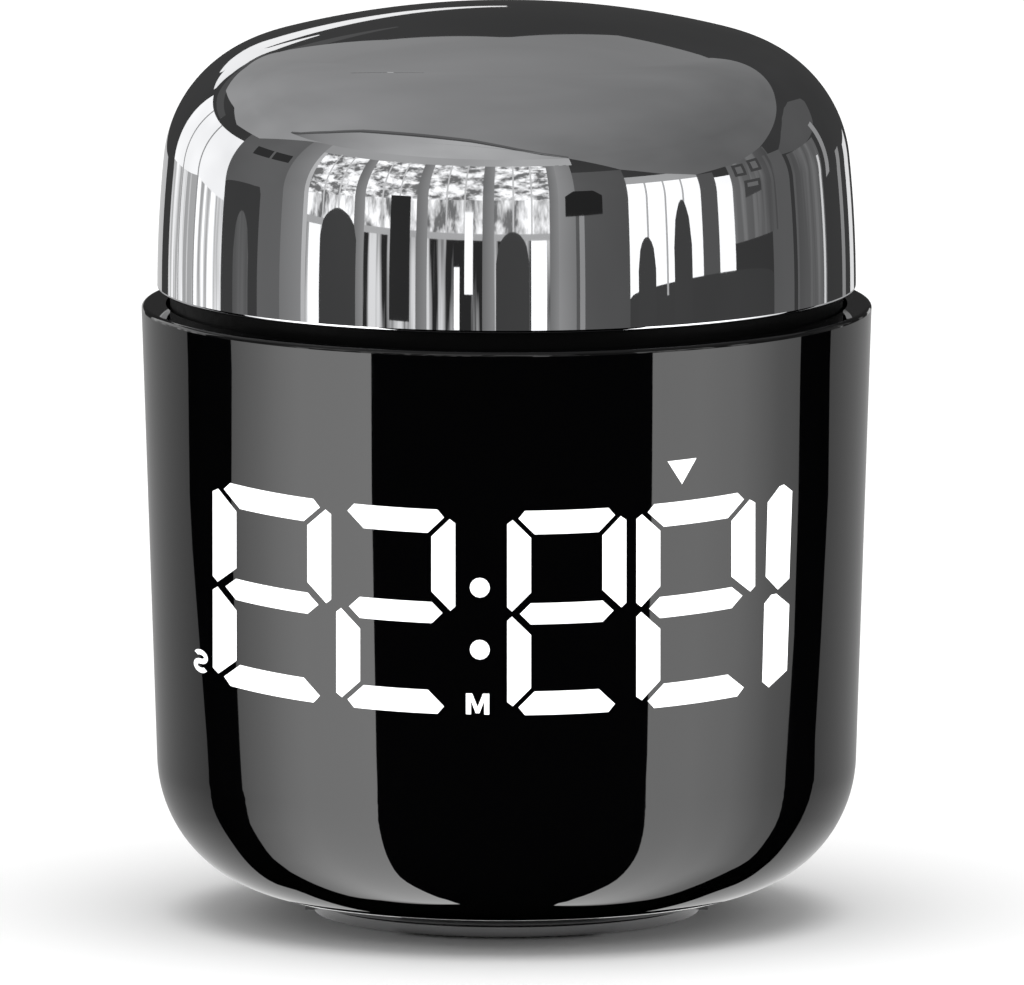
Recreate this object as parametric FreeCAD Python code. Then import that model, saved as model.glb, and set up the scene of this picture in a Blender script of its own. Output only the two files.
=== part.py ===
import FreeCAD, Part
import math
import os

from FreeCAD import Vector

# A table-top digital timer: a tumbler-shaped body with a wrap-round lit display, and a domed
# knob on top that is turned to set the time and pressed to start it.
# Millimetres. +Z is up, the display faces -Y, and Z = 0 is the surface it stands on.

# Body shell
rim_radius = 33.0
body_top = 55.6
wall_draft = math.radians(1.9)
corner_radius = 12.4
underside_radius = 60.0
underside_slope = math.radians(12.7)
foot_radius = 18.1
foot_height = 1.4
shell_wall = 2.2
rim_round = 0.4

# Knob cap
knob_gap = 1.45
cap_height = 25.5
cap_wall = 1.3
skirt_wall = 0.85
side_curve_radius = 120.0
shoulder_radius = 12.1
crown_radius = 83.0
skirt_round = 0.3

# Fits
neck_clearance = 0.3
inside_clearance = 0.3
shaft_clearance = 0.04
contact_clearance = 0.05
cover_clearance = 0.25
plug_clearance = 0.35

# AAA cells
cell_diameter = 10.5
cell_length = 44.5
nub_radius = 1.9
nub_height = 1.0
bore_clearance = 0.2
tube_wall = 1.2
web_wall = 0.9
cell_edge_round = 0.5

# Battery cover
cover_radius = 17.4
cover_tab_reach = 18.2
cover_tab_width = 1.8
foot_stand = 0.3
plug_radius = 15.6
lip_thickness = 1.1
lug_thickness = 1.0
lug_reach = 16.9
lug_angle = 24.0
lug_count = 3
unlock_angle = 40.0
notch_slack = 6.0
foot_ring_inner = 12.6
foot_ring_outer = 15.0
foot_ring_depth = 0.5
coin_slot_length = 16.0
coin_slot_width = 1.7
coin_slot_depth = 0.9

# Battery contacts
contact_thickness = 0.3
contact_pad_radius = 4.0
contact_strip_width = 3.6
spring_height = 1.2
spring_wire = 0.5
spring_outer_radius = 3.4
spring_turns = 3
spring_coil_gap = 0.1
dimple_radius = 1.6
return_rod_radius = 0.6

# Display, as laid out on the body's outer face and seen from the front
layout_radius = 32.22
digit_centres = (-21.1, -9.95, 5.4, 17.0)
digit_width = 10.7
digit_height = 18.6
digit_middle = 31.9
stroke = 2.15
segment_gap = 0.45
corner_cut_x = 1.6
corner_cut_z = 1.2
bar_tip = 1.15
side_tip = 0.22
side_nose = 0.23
side_shoulder = 0.63
one_centre = 24.3
colon_x = -2.4
colon_heights = (28.55, 34.2)
colon_radius = 0.9
colon_corner_count = 16
minute_mark = (-2.6, 23.6, 2.1, 1.9)
second_mark = (-27.75, 25.2, 1.3, 1.8)
pointer_x = 15.8
pointer_width = 2.6
pointer_top = 45.3
pointer_height = 2.2

# Display unit
display_front = 8.6
board_thickness = 1.2
frame_bottom = 16.8
frame_top = 48.0
frame_side_gap = 0.5
web_thickness = 1.6
well_wall = 0.8
shelf_thickness = 1.2
guide_depth = 2.0
display_post_side = 6.4
display_post_inset = 2.8
display_post_radius = 2.0
display_post_length = 5.5
led_length = 1.1
led_width = 0.7
led_height = 0.6
driver_chip_size = 6.0
driver_chip_height = 0.9
driver_chip_inset = 10.9

# Chassis
chassis_lift = 0.25
flange_margin = 0.4
flange_thickness = 1.6
flange_height = 8.5
top_plate = 1.2
display_wall = 1.2
display_wall_gap = 1.8
display_wall_margin = 1.0
boss_radius = 2.6
boss_circle = 22.0
boss_count = 3
boss_start = 30.0
board_stand = 0.6

# Screws
screw_radius = 1.0
screw_head_radius = 1.9
screw_head_height = 1.4
screw_cross_depth = 0.7
screw_cross_length = 1.6
screw_cross_width = 0.5
short_screw = 6.0
deck_screw = 12.0

# Control board
control_board_gap = 3.0
ribbon_width = 14.0
ribbon_thickness = 0.3
ribbon_overlap = 7.0
buzzer_inset = 11.0
buzzer_forward = 4.0
buzzer_radius = 6.0
buzzer_height = 5.0
sound_hole_radius = 1.5
chip_inset = 12.5
chip_back = 3.0
chip_size = 7.0
chip_height = 1.2
capacitor_inset = 13.5
capacitor_forward = 6.5
capacitor_radius = 2.5
capacitor_height = 5.0
crystal_inset = 14.0
crystal_left = 9.0
crystal_length = 8.0
crystal_width = 3.0
crystal_height = 2.4
resistor_size = (1.6, 0.8, 0.5)
resistor_count = 6
resistor_inset = 11.0
resistor_left = 1.0
resistor_pitch = 1.9

# Rotary encoder with its push switch
encoder_side = 12.0
encoder_height = 5.7
encoder_floor = 0.9
encoder_cavity_radius = 5.2
encoder_plate = 0.8
bushing_radius = 3.5
bushing_height = 6.0
shaft_radius = 3.0
shaft_flat = 1.5
shaft_flange_radius = 4.6
shaft_flange_height = 1.2
shaft_top_room = 4.3
switch_travel = 0.6
plunger_radius = 3.2
plunger_length = 2.3
dome_radius = 3.0
dome_rise = 0.5
dome_thickness = 0.15
pin_radius = 0.4
pin_pitch = 2.5
pin_count = 5
nut_across_flats = 10.0
nut_height = 2.2
washer_radius = 6.2
washer_height = 0.5

# Top deck
deck_thickness = 1.6
deck_wall = 1.4
deck_post_radius = 3.0

# Knob carrier
carrier_radius = 20.0
carrier_plate = 1.8
carrier_drop = 8.6
hub_radius = 6.0
hub_top_room = 3.3
carrier_rib = 1.2
carrier_rib_height = 3.0
carrier_rib_count = 6
cap_boss_circle = 15.5
cap_boss_radius = 3.0
cap_boss_count = 3


def ring(outer, inner, low, high):
    solid = Part.makeCylinder(outer, high - low, Vector(0, 0, low))
    if inner > 0:
        solid = solid.cut(Part.makeCylinder(inner, high - low, Vector(0, 0, low)))
    return solid


def post(radius, place, low, high):
    return Part.makeCylinder(radius, high - low, Vector(place[0], place[1], low))


def rod_along_y(radius, x, z, front, back):
    return Part.makeCylinder(radius, back - front, Vector(x, front, z), Vector(0, 1, 0))


def box(x_low, x_high, y_low, y_high, z_low, z_high):
    corner = Vector(x_low, y_low, z_low)
    return Part.makeBox(x_high - x_low, y_high - y_low, z_high - z_low, corner)


def block(place, length, width, low, high):
    x, y = place
    return box(x - length / 2, x + length / 2, y - width / 2, y + width / 2, low, high)


def bar_between(start, end, width, low, high):
    """Straight bar from one place to another, seen from above."""
    bar = box(0, math.dist(start, end), -width / 2, width / 2, low, high)
    bar = turned(bar, math.degrees(math.atan2(end[1] - start[1], end[0] - start[0])))
    bar.translate(Vector(start[0], start[1], 0))
    return bar


def around(count, radius, start_degrees):
    angles = [math.radians(start_degrees + 360 / count * i) for i in range(count)]
    return [(radius * math.cos(a), radius * math.sin(a)) for a in angles]


def turned(solid, degrees):
    copy = solid.copy()
    copy.rotate(Vector(0, 0, 0), Vector(0, 0, 1), degrees)
    return copy


def wedge(radius, degrees, low, high):
    sector = Part.makeCylinder(radius, high - low, Vector(0, 0, low), Vector(0, 0, 1), degrees)
    return turned(sector, -degrees / 2)


def flat(r, z):
    return Vector(r, 0, z)


def line(start, end):
    return Part.LineSegment(start, end).toShape()


def arc(centre, start, end):
    middle_direction = (start - centre) + (end - centre)
    middle_direction.normalize()
    middle = centre + middle_direction * (start - centre).Length
    return Part.Arc(start, middle, end).toShape()


def revolved(edges):
    outline = Part.Wire(Part.__sortEdges__(edges))
    solid = Part.Face(outline).revolve(Vector(0, 0, 0), Vector(0, 0, 1), 360)
    if solid.Volume < 0:
        solid.reverse()
    return solid


def rounded_at(solid, radius, z, size):
    def is_ring(edge):
        if edge.Degenerated or not isinstance(edge.Curve, Part.Circle):
            return False
        curve = edge.Curve
        return abs(curve.Radius - radius) < 0.01 and abs(curve.Center.z - z) < 0.01
    return solid.makeFillet(size, [edge for edge in solid.Edges if is_ring(edge)])


def arcs_meeting(centre_a, radius_a, centre_b, radius_b):
    """The outer crossing of two circles that lie in the half plane of the outline."""
    between = centre_b - centre_a
    distance = between.Length
    along = (radius_a ** 2 - radius_b ** 2 + distance ** 2) / (2 * distance)
    across = math.sqrt(radius_a ** 2 - along ** 2)
    between.normalize()
    side = flat(-between.z, between.x)
    crossings = [centre_a + between * along + side * (sign * across) for sign in (1, -1)]
    return max(crossings, key=lambda point: point.x)


# The body's outer line: a drafted wall, a corner arc and a shallow underside arc, all tangent.
wall_up = flat(math.sin(wall_draft), math.cos(wall_draft))
wall_out = flat(math.cos(wall_draft), -math.sin(wall_draft))
underside_centre = flat(foot_radius - underside_radius * math.sin(underside_slope),
                        foot_height + underside_radius * math.cos(underside_slope))


def corner_centre():
    """Where the corner arc touches both the wall and the underside arc."""
    start = flat(rim_radius, body_top) - wall_out * corner_radius
    to_start = start - underside_centre
    half = to_start.dot(wall_up)
    rest = to_start.dot(to_start) - (underside_radius - corner_radius) ** 2
    return start + wall_up * (-half - math.sqrt(half ** 2 - rest))


def wall_radius(z, inset=0.0):
    return rim_radius - (body_top - z) * math.tan(wall_draft) - inset / math.cos(wall_draft)


def body_edges(inset, bottom_radius, top):
    """The body's outer line, moved inwards by inset, from its underside up to a height."""
    centre = corner_centre()
    down = centre - underside_centre
    down.normalize()
    reach = underside_radius - inset
    drop = math.sqrt(reach ** 2 - (bottom_radius - underside_centre.x) ** 2)
    low = flat(bottom_radius, underside_centre.z - drop)
    corner_low = centre + down * (corner_radius - inset)
    corner_high = centre + wall_out * (corner_radius - inset)
    high = flat(wall_radius(top, inset), top)
    edges = [arc(underside_centre, low, corner_low),
             arc(centre, corner_low, corner_high),
             line(corner_high, high)]
    return edges, low, high


def core_cone(inset, low, high):
    """Solid of the body's straight wall zone, inset from its outer face."""
    return Part.makeCone(wall_radius(low, inset), wall_radius(high, inset), high - low, Vector(0, 0, low))


# Heights that stack up from the table to the crown of the knob.
cover_top = foot_height - cover_clearance
lip_top = foot_height + lip_thickness
plug_top = lip_top + cover_clearance + lug_thickness
cell_base = plug_top + contact_thickness + spring_height
cell_top = cell_base + cell_length
chassis_bottom = cell_base + chassis_lift
upper_contact_top = cell_top + spring_height + contact_thickness
chassis_top = upper_contact_top + top_plate
board_bottom = chassis_top + board_stand
board_top = board_bottom + board_thickness
encoder_top = board_top + encoder_height
plunger_top = encoder_top - 3 * contact_clearance - shaft_flange_height
deck_low = encoder_top + encoder_plate
deck_top = deck_low + deck_thickness
bushing_top = deck_low + bushing_height
cap_base = body_top + knob_gap
cap_top = cap_base + cap_height
carrier_top = cap_top - carrier_drop
carrier_low = carrier_top - carrier_plate
hub_low = bushing_top + switch_travel + 2 * inside_clearance
hub_high = cap_top - cap_wall - hub_top_room
shaft_top = cap_top - cap_wall - shaft_top_room
skirt_top = deck_top + switch_travel + 2 * inside_clearance

# Radii and depths that one piece takes from another.
bore_radius = cell_diameter / 2 + bore_clearance
cell_circle = (bore_radius + web_wall / 2) / math.cos(math.radians(30))
board_back = -(display_front - board_thickness)
tube_radius = bore_radius + tube_wall
wall_front = board_back + display_wall_gap
cluster_y = wall_front + tube_radius - display_wall_gap / 2 + cell_circle / 2
cell_places = {
    "left": (-bore_radius - web_wall / 2, cluster_y - cell_circle / 2),
    "right": (bore_radius + web_wall / 2, cluster_y - cell_circle / 2),
    "rear": (0.0, cluster_y + cell_circle),
}
neck_radius = wall_radius(board_bottom, shell_wall) - neck_clearance
cap_radius = neck_radius + neck_clearance + skirt_wall
lip_radius = plug_radius + plug_clearance
recess_radius = lug_reach + 2 * cover_clearance
boss_places = around(boss_count, boss_circle, boss_start)
guide_inset = shell_wall + inside_clearance
window_ratio = wall_radius(digit_middle, guide_inset) / layout_radius
display_post_heights = (frame_bottom + display_post_inset, frame_top - display_post_inset)
foot_screw_tip = flange_height + flange_thickness - short_screw
display_board_half = math.sqrt(wall_radius(frame_bottom, guide_inset) ** 2 - display_front ** 2)
frame_half_width = display_board_half - frame_side_gap
display_post_x = frame_half_width - display_post_side
display_posts = [(x, z) for x in (-display_post_x, display_post_x) for z in display_post_heights]
display_wall_half_width = display_post_x + display_post_radius + display_wall_margin
flange_radius = boss_circle + boss_radius + flange_margin
control_board_radius = neck_radius - deck_wall - control_board_gap
driver_chip_place = (display_board_half - driver_chip_inset, digit_middle)
buzzer_place = (buzzer_inset - control_board_radius, -buzzer_forward)
chip_place = (control_board_radius - chip_inset, chip_back)
capacitor_place = (control_board_radius - capacitor_inset, -capacitor_forward)
crystal_place = (-crystal_left, control_board_radius - crystal_inset)
resistor_start = (-resistor_left, control_board_radius - resistor_inset)


def outer_shell():
    """Smoked glossy shell: the whole body wall, open at the top and at the battery hole."""
    outer, outer_low, outer_high = body_edges(0, foot_radius, body_top)
    inner, inner_low, inner_high = body_edges(shell_wall, recess_radius, body_top)
    path = [flat(lip_radius, foot_height), outer_low]
    edges = [line(*path)] + outer + [line(outer_high, inner_high)] + inner
    recess = [inner_low, flat(recess_radius, lip_top), flat(lip_radius, lip_top), path[0]]
    edges += [line(a, b) for a, b in zip(recess, recess[1:])]
    shell = revolved(edges)
    shell = rounded_at(shell, rim_radius, body_top, rim_round)
    inside = revolved(shell_core_edges())
    for place in boss_places:
        boss = post(boss_radius, place, foot_height, flange_height)
        shell = shell.fuse(boss.common(inside))
        shell = shell.cut(post(screw_radius, place, foot_screw_tip, flange_height))
    notch = wedge(lug_reach + cover_clearance, lug_angle + notch_slack, foot_height, lip_top)
    notches = [turned(notch, 360 / lug_count * step - unlock_angle) for step in range(lug_count)]
    return shell.cut(notches).removeSplitter()


def shell_core_edges():
    """Closed outline of the space that a boss may fill: half way into the shell's wall."""
    edges, low, high = body_edges(shell_wall / 2, recess_radius, flange_height + corner_radius)
    axis_low = flat(0, low.z)
    axis_high = flat(0, high.z)
    return edges + [line(high, axis_high), line(axis_high, axis_low), line(axis_low, low)]


def battery_cover():
    """Twist-lock base disc with three lugs, a coin slot and a groove for its foot ring."""
    disc = ring(cover_radius, 0, foot_stand, cover_top)
    plug = ring(plug_radius, 0, foot_stand, plug_top)
    tabs = block((0, 0), 2 * cover_tab_reach, cover_tab_width, foot_stand, cover_top)
    cover = disc.fuse([plug, tabs])
    for step in range(lug_count):
        lug = wedge(lug_reach, lug_angle, plug_top - lug_thickness, plug_top)
        cover = cover.fuse(turned(lug, 360 / lug_count * step))
    cover = cover.cut(ring(foot_ring_outer, foot_ring_inner, foot_stand, foot_stand + foot_ring_depth))
    slot = block((0, 0), coin_slot_length, coin_slot_width, foot_stand, foot_stand + coin_slot_depth)
    return cover.cut(slot).removeSplitter()


def foot_ring():
    """Soft non-slip ring in the underside of the cover."""
    pad = ring(foot_ring_outer, foot_ring_inner, 0, foot_stand + foot_ring_depth)
    return rounded_at(pad, foot_ring_outer, 0, foot_stand / 2)


def cell(place, nub_up):
    """AAA cell with its raised positive end."""
    low = cell_base if nub_up else cell_base + nub_height
    can = post(cell_diameter / 2, (0, 0), low, low + cell_length - nub_height)
    can = rounded_at(can, cell_diameter / 2, low, cell_edge_round)
    can = rounded_at(can, cell_diameter / 2, low + cell_length - nub_height, cell_edge_round)
    nub = post(nub_radius, (0, 0), cell_top - nub_height, cell_top) if nub_up \
        else post(nub_radius, (0, 0), cell_base, cell_base + nub_height)
    whole = can.fuse(nub)
    whole.translate(Vector(place[0], place[1], 0))
    return whole


def cone_spring(place, base_z, direction):
    """Conical battery spring of tilted half turns, its wide coil on the contact plate."""
    half_turns = 2 * spring_turns
    x, y = place
    step = (spring_wire + spring_coil_gap) / 2
    rise = direction * (spring_height - spring_wire - contact_clearance) / half_turns
    start = Vector(x + spring_outer_radius, y, base_z + direction * spring_wire / 2)
    profile = Part.Wire(Part.makeCircle(spring_wire / 2, start, Vector(0, 1, 0)))
    arcs = []
    side = 1
    for i in range(half_turns):
        end = Vector(x - side * (spring_outer_radius - (i + 1) * step), y, start.z + rise)
        middle = (start + end) * 0.5 + Vector(0, side * (end - start).Length / 2, 0)
        arcs.append(Part.Arc(start, middle, end).toShape())
        start = end
        side = -side
    return Part.Wire(arcs).makePipeShell([profile], True, True)


def contact_plate(pads, low):
    """Flat plate of round pads joined by strips."""
    plate = post(contact_pad_radius, pads[0], low, low + contact_thickness)
    for start, end in zip(pads, pads[1:]):
        plate = plate.fuse(bar_between(start, end, contact_strip_width, low, low + contact_thickness))
    return plate


def lower_bridge_contact():
    """Joins the left cell to the right one, with a dimple for the right cell's nub."""
    plate = contact_plate([cell_places["left"], cell_places["right"]], plug_top)
    far_pad = post(contact_pad_radius, cell_places["right"], plug_top, plug_top + contact_thickness)
    dimple = post(dimple_radius, cell_places["right"], plug_top, cell_base - contact_clearance)
    return plate.fuse([far_pad, dimple]).removeSplitter()


def lower_return_contact():
    """Takes the rear cell's negative end to the return rod."""
    end = (0.0, cluster_y - contact_strip_width / 4)
    return contact_plate([cell_places["rear"], end], plug_top).removeSplitter()


def upper_bridge_contact():
    """Joins the right cell to the rear one under the chassis's top plate."""
    low = upper_contact_top - contact_thickness
    plate = contact_plate([cell_places["right"], cell_places["rear"]], low)
    far_pad = post(contact_pad_radius, cell_places["rear"], low, upper_contact_top)
    dimple = post(dimple_radius, cell_places["rear"], cell_top, upper_contact_top)
    return plate.fuse([far_pad, dimple]).cut(web_between_bores()).removeSplitter()


def upper_output_contact():
    """Feeds the left cell's positive end up through the chassis to the control board."""
    low = upper_contact_top - contact_thickness
    pad = post(contact_pad_radius, cell_places["left"], low, upper_contact_top)
    dimple = post(dimple_radius, cell_places["left"], cell_top, upper_contact_top)
    tail = post(return_rod_radius, cell_places["left"], low, board_top)
    return pad.fuse([dimple, tail]).removeSplitter()


def web_between_bores():
    """Sliver of chassis round the return rod that no contact plate may cross."""
    return post(2 * return_rod_radius + contact_clearance, (0, cluster_y), cell_base, upper_contact_top)


def return_rod():
    """Rod in the middle of the chassis that carries the negative side up to the board."""
    low = plug_top + contact_thickness + contact_clearance
    return post(return_rod_radius, (0, cluster_y), low, board_top)


def cell_block(low, high):
    """Rounded triangular block that wraps the three cell bores."""
    places = list(cell_places.values())
    solid = post(tube_radius, places[0], low, high)
    corners = [Vector(x, y, low) for x, y in places]
    core = Part.Face(Part.makePolygon(corners + corners[:1])).extrude(Vector(0, 0, high - low))
    pieces = [core]
    for i in range(3):
        start = places[i]
        end = places[(i + 1) % 3]
        pieces += [bar_between(start, end, 2 * tube_radius, low, high), post(tube_radius, end, low, high)]
    return solid.fuse(pieces)


def battery_chassis():
    """Inner frame: three cell tubes, a foot flange, a top plate and a wall for the display."""
    body = cell_block(chassis_bottom, chassis_top)
    foot = ring(flange_radius, 0, flange_height, flange_height + flange_thickness)
    top = ring(flange_radius, 0, upper_contact_top, chassis_top)
    wall = box(-display_wall_half_width, display_wall_half_width, wall_front, wall_front + display_wall,
               flange_height, chassis_top)
    pieces = [foot, top, wall]
    for place in boss_places:
        pieces.append(post(boss_radius, place, frame_top + inside_clearance, board_bottom))
    for x, z in display_posts:
        pieces.append(rod_along_y(display_post_radius, x, z, board_back, wall_front))
    body = body.fuse(pieces)
    for place in cell_places.values():
        body = body.cut(post(bore_radius, place, chassis_bottom, upper_contact_top))
    strip_slot = upper_bridge_contact()
    body = body.cut(strip_slot)
    body = body.cut(post(return_rod_radius, (0, cluster_y), chassis_bottom, chassis_top))
    body = body.cut(post(return_rod_radius, cell_places["left"], upper_contact_top, chassis_top))
    for place in boss_places:
        body = body.cut(post(screw_radius, place, flange_height, flange_height + flange_thickness))
        body = body.cut(post(screw_radius, place, frame_top + inside_clearance, board_bottom))
    for x, z in display_posts:
        body = body.cut(rod_along_y(screw_radius, x, z, board_back, wall_front + display_wall))
    slot = box(-ribbon_width / 2 - inside_clearance, ribbon_width / 2 + inside_clearance,
               board_back - inside_clearance, board_back + ribbon_thickness + inside_clearance,
               upper_contact_top, chassis_top)
    return body.cut(slot).removeSplitter()


def screw(low, length):
    """Pan-head screw pointing down from a seat at the given height, with a cross recess."""
    shank = post(screw_radius, (0, 0), low - length, low)
    head = post(screw_head_radius, (0, 0), low, low + screw_head_height)
    head = rounded_at(head, screw_head_radius, low + screw_head_height, screw_head_height / 3)
    cross_low = low + screw_head_height - screw_cross_depth
    bar = block((0, 0), screw_cross_length, screw_cross_width, cross_low, low + screw_head_height)
    cross = bar.fuse(turned(bar, 90))
    return shank.fuse(head).cut(cross).removeSplitter()


def screw_set(places, seat, length, from_below=False):
    solids = []
    for place in places:
        one = screw(0, length)
        if from_below:
            one.rotate(Vector(0, 0, 0), Vector(1, 0, 0), 180)
        one.translate(Vector(place[0], place[1], seat))
        solids.append(one)
    return Part.makeCompound(solids)


def display_screws():
    """Four screws through the chassis's display wall and the board into the light frame."""
    solids = []
    for x, z in display_posts:
        one = screw(0, short_screw)
        one.rotate(Vector(0, 0, 0), Vector(1, 0, 0), -90)
        one.translate(Vector(x, wall_front + display_wall, z))
        solids.append(one)
    return Part.makeCompound(solids)


def polygon_prism(points, front):
    """Display outline seen from the front, drawn at the light guides and run back to the board."""
    corners = [Vector(x, -rim_radius, z) for x, z in points]
    face = Part.Face(Part.makePolygon(corners + corners[:1]))
    return face.extrude(Vector(0, rim_radius - front, 0))


def side_segment(left, middle, side, half):
    """One upright bar of a digit; side is +1 for the right-hand bars, half +1 for the upper."""
    mitre = segment_gap / math.sqrt(2)
    top = digit_height / 2
    tip_x = (corner_cut_z - mitre) / (1 + corner_cut_z / corner_cut_x)
    points = [(0, side_shoulder), (2 * side_tip, side_nose),
              (stroke, stroke - side_tip), (stroke, top - stroke - mitre),
              (tip_x, top - tip_x - mitre), (0, top - corner_cut_z)]
    edge = left if side < 0 else left + digit_width
    return [(edge - side * x, middle + half * z) for x, z in points]


def level_segment(left, middle, half):
    """The top or bottom bar of a digit."""
    mitre = segment_gap / math.sqrt(2)
    top = digit_height / 2
    tip_x = (corner_cut_z + mitre) / (1 + corner_cut_z / corner_cut_x)
    near = [(mitre + stroke, top - stroke), (tip_x, top + mitre - tip_x), (corner_cut_x, top)]
    points = near + [(digit_width - x, z) for x, z in reversed(near)]
    return [(left + x, middle + half * z) for x, z in points]


def middle_segment(left, middle):
    """The bar across the middle of a digit, pointed at both ends."""
    reach = stroke / 2 - side_tip / 2
    near = [(bar_tip + reach, -reach), (bar_tip, 0), (bar_tip + reach, reach)]
    points = near + [(digit_width - x, -z) for x, z in near]
    return [(left + x, middle + z) for x, z in points]


def rectangle(mark):
    x, z, width, height = mark
    return [(x + a * width / 2, z + b * height / 2) for a, b in ((-1, -1), (1, -1), (1, 1), (-1, 1))]


def circle_outline(x, z, radius):
    return [(x + across, z + up) for across, up in around(colon_corner_count, radius, 0)]


def display_windows():
    """Outline of every lit area on the body's outer face."""
    windows = []
    for centre in digit_centres:
        left = centre - digit_width / 2
        windows += [side_segment(left, digit_middle, side, half) for side in (-1, 1) for half in (-1, 1)]
        windows += [level_segment(left, digit_middle, half) for half in (-1, 1)]
        windows.append(middle_segment(left, digit_middle))
    one_left = one_centre - stroke / 2
    windows += [side_segment(one_left, digit_middle, -1, half) for half in (-1, 1)]
    windows += [circle_outline(colon_x, z, colon_radius) for z in colon_heights]
    windows += [rectangle(minute_mark), rectangle(second_mark)]
    pointer = [(-pointer_width / 2, 0), (pointer_width / 2, 0), (0, -pointer_height)]
    windows.append([(pointer_x + x, pointer_top + z) for x, z in pointer])
    return windows


def guide_outlines():
    """The same outlines at the light guides, which stand square behind the curved wall."""
    return [[(x * window_ratio, z) for x, z in outline] for outline in display_windows()]


def widened(outline, margin):
    """Outline moved outwards by a margin, with its corners kept sharp."""
    corners = [Vector(x, 0, z) for x, z in outline]
    wire = Part.makePolygon(corners + corners[:1])
    wider = wire.makeOffset2D(margin, 2)
    return [(vertex.Point.x, vertex.Point.z) for vertex in wider.OrderedVertexes]


def display_slab(low, high):
    """Slab in front of the display board, as wide as the light frame and past the shell's face."""
    return box(-frame_half_width, frame_half_width, -rim_radius, -display_front, low, high)


def light_wells():
    """White frame with one well for each lit area, curved to follow the shell's inner face."""
    room = core_cone(guide_inset, frame_bottom, frame_top)
    hollow = core_cone(guide_inset + web_thickness, frame_bottom, frame_top)
    solids = [polygon_prism(widened(outline, well_wall), display_front) for outline in guide_outlines()]
    solids.append(display_slab(frame_bottom, frame_bottom + shelf_thickness))
    solids.append(display_slab(frame_top - shelf_thickness, frame_top))
    openings = [polygon_prism(outline, display_front) for outline in guide_outlines()]
    post_front = -display_front - display_post_length
    screw_tip = wall_front + display_wall - short_screw
    for x, z in display_posts:
        solids.append(rod_along_y(display_post_radius, x, z, post_front, -display_front))
        openings.append(rod_along_y(screw_radius, x, z, screw_tip, -display_front))
    inner = solids[0].fuse(solids[1:])
    frame = display_slab(frame_bottom, frame_top).cut(hollow).fuse(inner)
    return frame.cut(openings).common(room).removeSplitter()


def light_guides():
    """Milky diffusers that fill the front end of each well."""
    room = core_cone(guide_inset, frame_bottom, frame_top)
    hollow = core_cone(guide_inset + guide_depth, frame_bottom, frame_top)
    zone = room.cut(hollow)
    guides = [polygon_prism(outline, display_front + led_height + inside_clearance).common(zone)
              for outline in guide_outlines()]
    return Part.makeCompound([guide.Solids[0] for guide in guides])


def display_leds():
    """One small lamp on the board in the middle of each well."""
    solids = []
    for outline in guide_outlines():
        x = sum(point[0] for point in outline) / len(outline)
        z = sum(point[1] for point in outline) / len(outline)
        wide = max(p[0] for p in outline) - min(p[0] for p in outline)
        tall = max(p[1] for p in outline) - min(p[1] for p in outline)
        length, height = (led_length, led_width) if wide > tall else (led_width, led_length)
        solids.append(box(x - length / 2, x + length / 2, -display_front - led_height, -display_front,
                          z - height / 2, z + height / 2))
    return Part.makeCompound(solids)


def display_board():
    """Upright board behind the display."""
    board = box(-display_board_half, display_board_half, -display_front, board_back, frame_bottom, frame_top)
    for x, z in display_posts:
        board = board.cut(rod_along_y(screw_radius, x, z, -display_front, board_back))
    return board


def driver_chip():
    """Display driver on the back of the display board."""
    x, z = driver_chip_place
    half = driver_chip_size / 2
    return box(x - half, x + half, board_back, board_back + driver_chip_height, z - half, z + half)


def board_ribbon():
    """Flat link from the display board up through the control board."""
    return box(-ribbon_width / 2, ribbon_width / 2, board_back, board_back + ribbon_thickness,
               frame_top - ribbon_overlap, board_top + ribbon_thickness)


def pin_places():
    half = (pin_count - 1) / 2
    return [((i - half) * pin_pitch, -encoder_side / 2 + 2 * pin_radius) for i in range(pin_count)]


def control_board():
    """Round board on the chassis that carries the encoder and the logic."""
    board = ring(control_board_radius, 0, board_bottom, board_top)
    for place in boss_places:
        board = board.cut(post(screw_radius, place, board_bottom, board_top))
    for place in pin_places():
        board = board.cut(post(pin_radius, place, board_bottom, board_top))
    board = board.cut(post(return_rod_radius, (0, cluster_y), board_bottom, board_top))
    board = board.cut(post(return_rod_radius, cell_places["left"], board_bottom, board_top))
    slot = box(-ribbon_width / 2, ribbon_width / 2, board_back, board_back + ribbon_thickness,
               board_bottom, board_top)
    return board.cut(slot)


def control_chip():
    """Timer's microcontroller."""
    return block(chip_place, chip_size, chip_size, board_top, board_top + chip_height)


def buzzer():
    """Round alarm sounder with the sound hole in its lid."""
    can = post(buzzer_radius, buzzer_place, board_top, board_top + buzzer_height)
    chamber_low = board_top + buzzer_height / 2
    return can.cut(post(sound_hole_radius / 2, buzzer_place, chamber_low, board_top + buzzer_height))


def smoothing_capacitor():
    """Upright electrolytic capacitor."""
    can = post(capacitor_radius, (0, 0), board_top, board_top + capacitor_height)
    can = rounded_at(can, capacitor_radius, board_top + capacitor_height, capacitor_radius / 8)
    can.translate(Vector(capacitor_place[0], capacitor_place[1], 0))
    return can


def timing_crystal():
    """Quartz crystal can that keeps the time."""
    body = block(crystal_place, crystal_length, crystal_width, board_top, board_top + crystal_height)
    uprights = [edge for edge in body.Edges if abs(edge.tangentAt(edge.FirstParameter).z) > 0.9]
    return body.makeFillet(crystal_width / 3, uprights)


def board_resistors():
    """Row of small chip resistors at the back of the control board."""
    length, width, height = resistor_size
    x, y = resistor_start
    return Part.makeCompound([block((x + resistor_pitch * i, y), width, length, board_top, board_top + height)
                              for i in range(resistor_count)])


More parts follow.
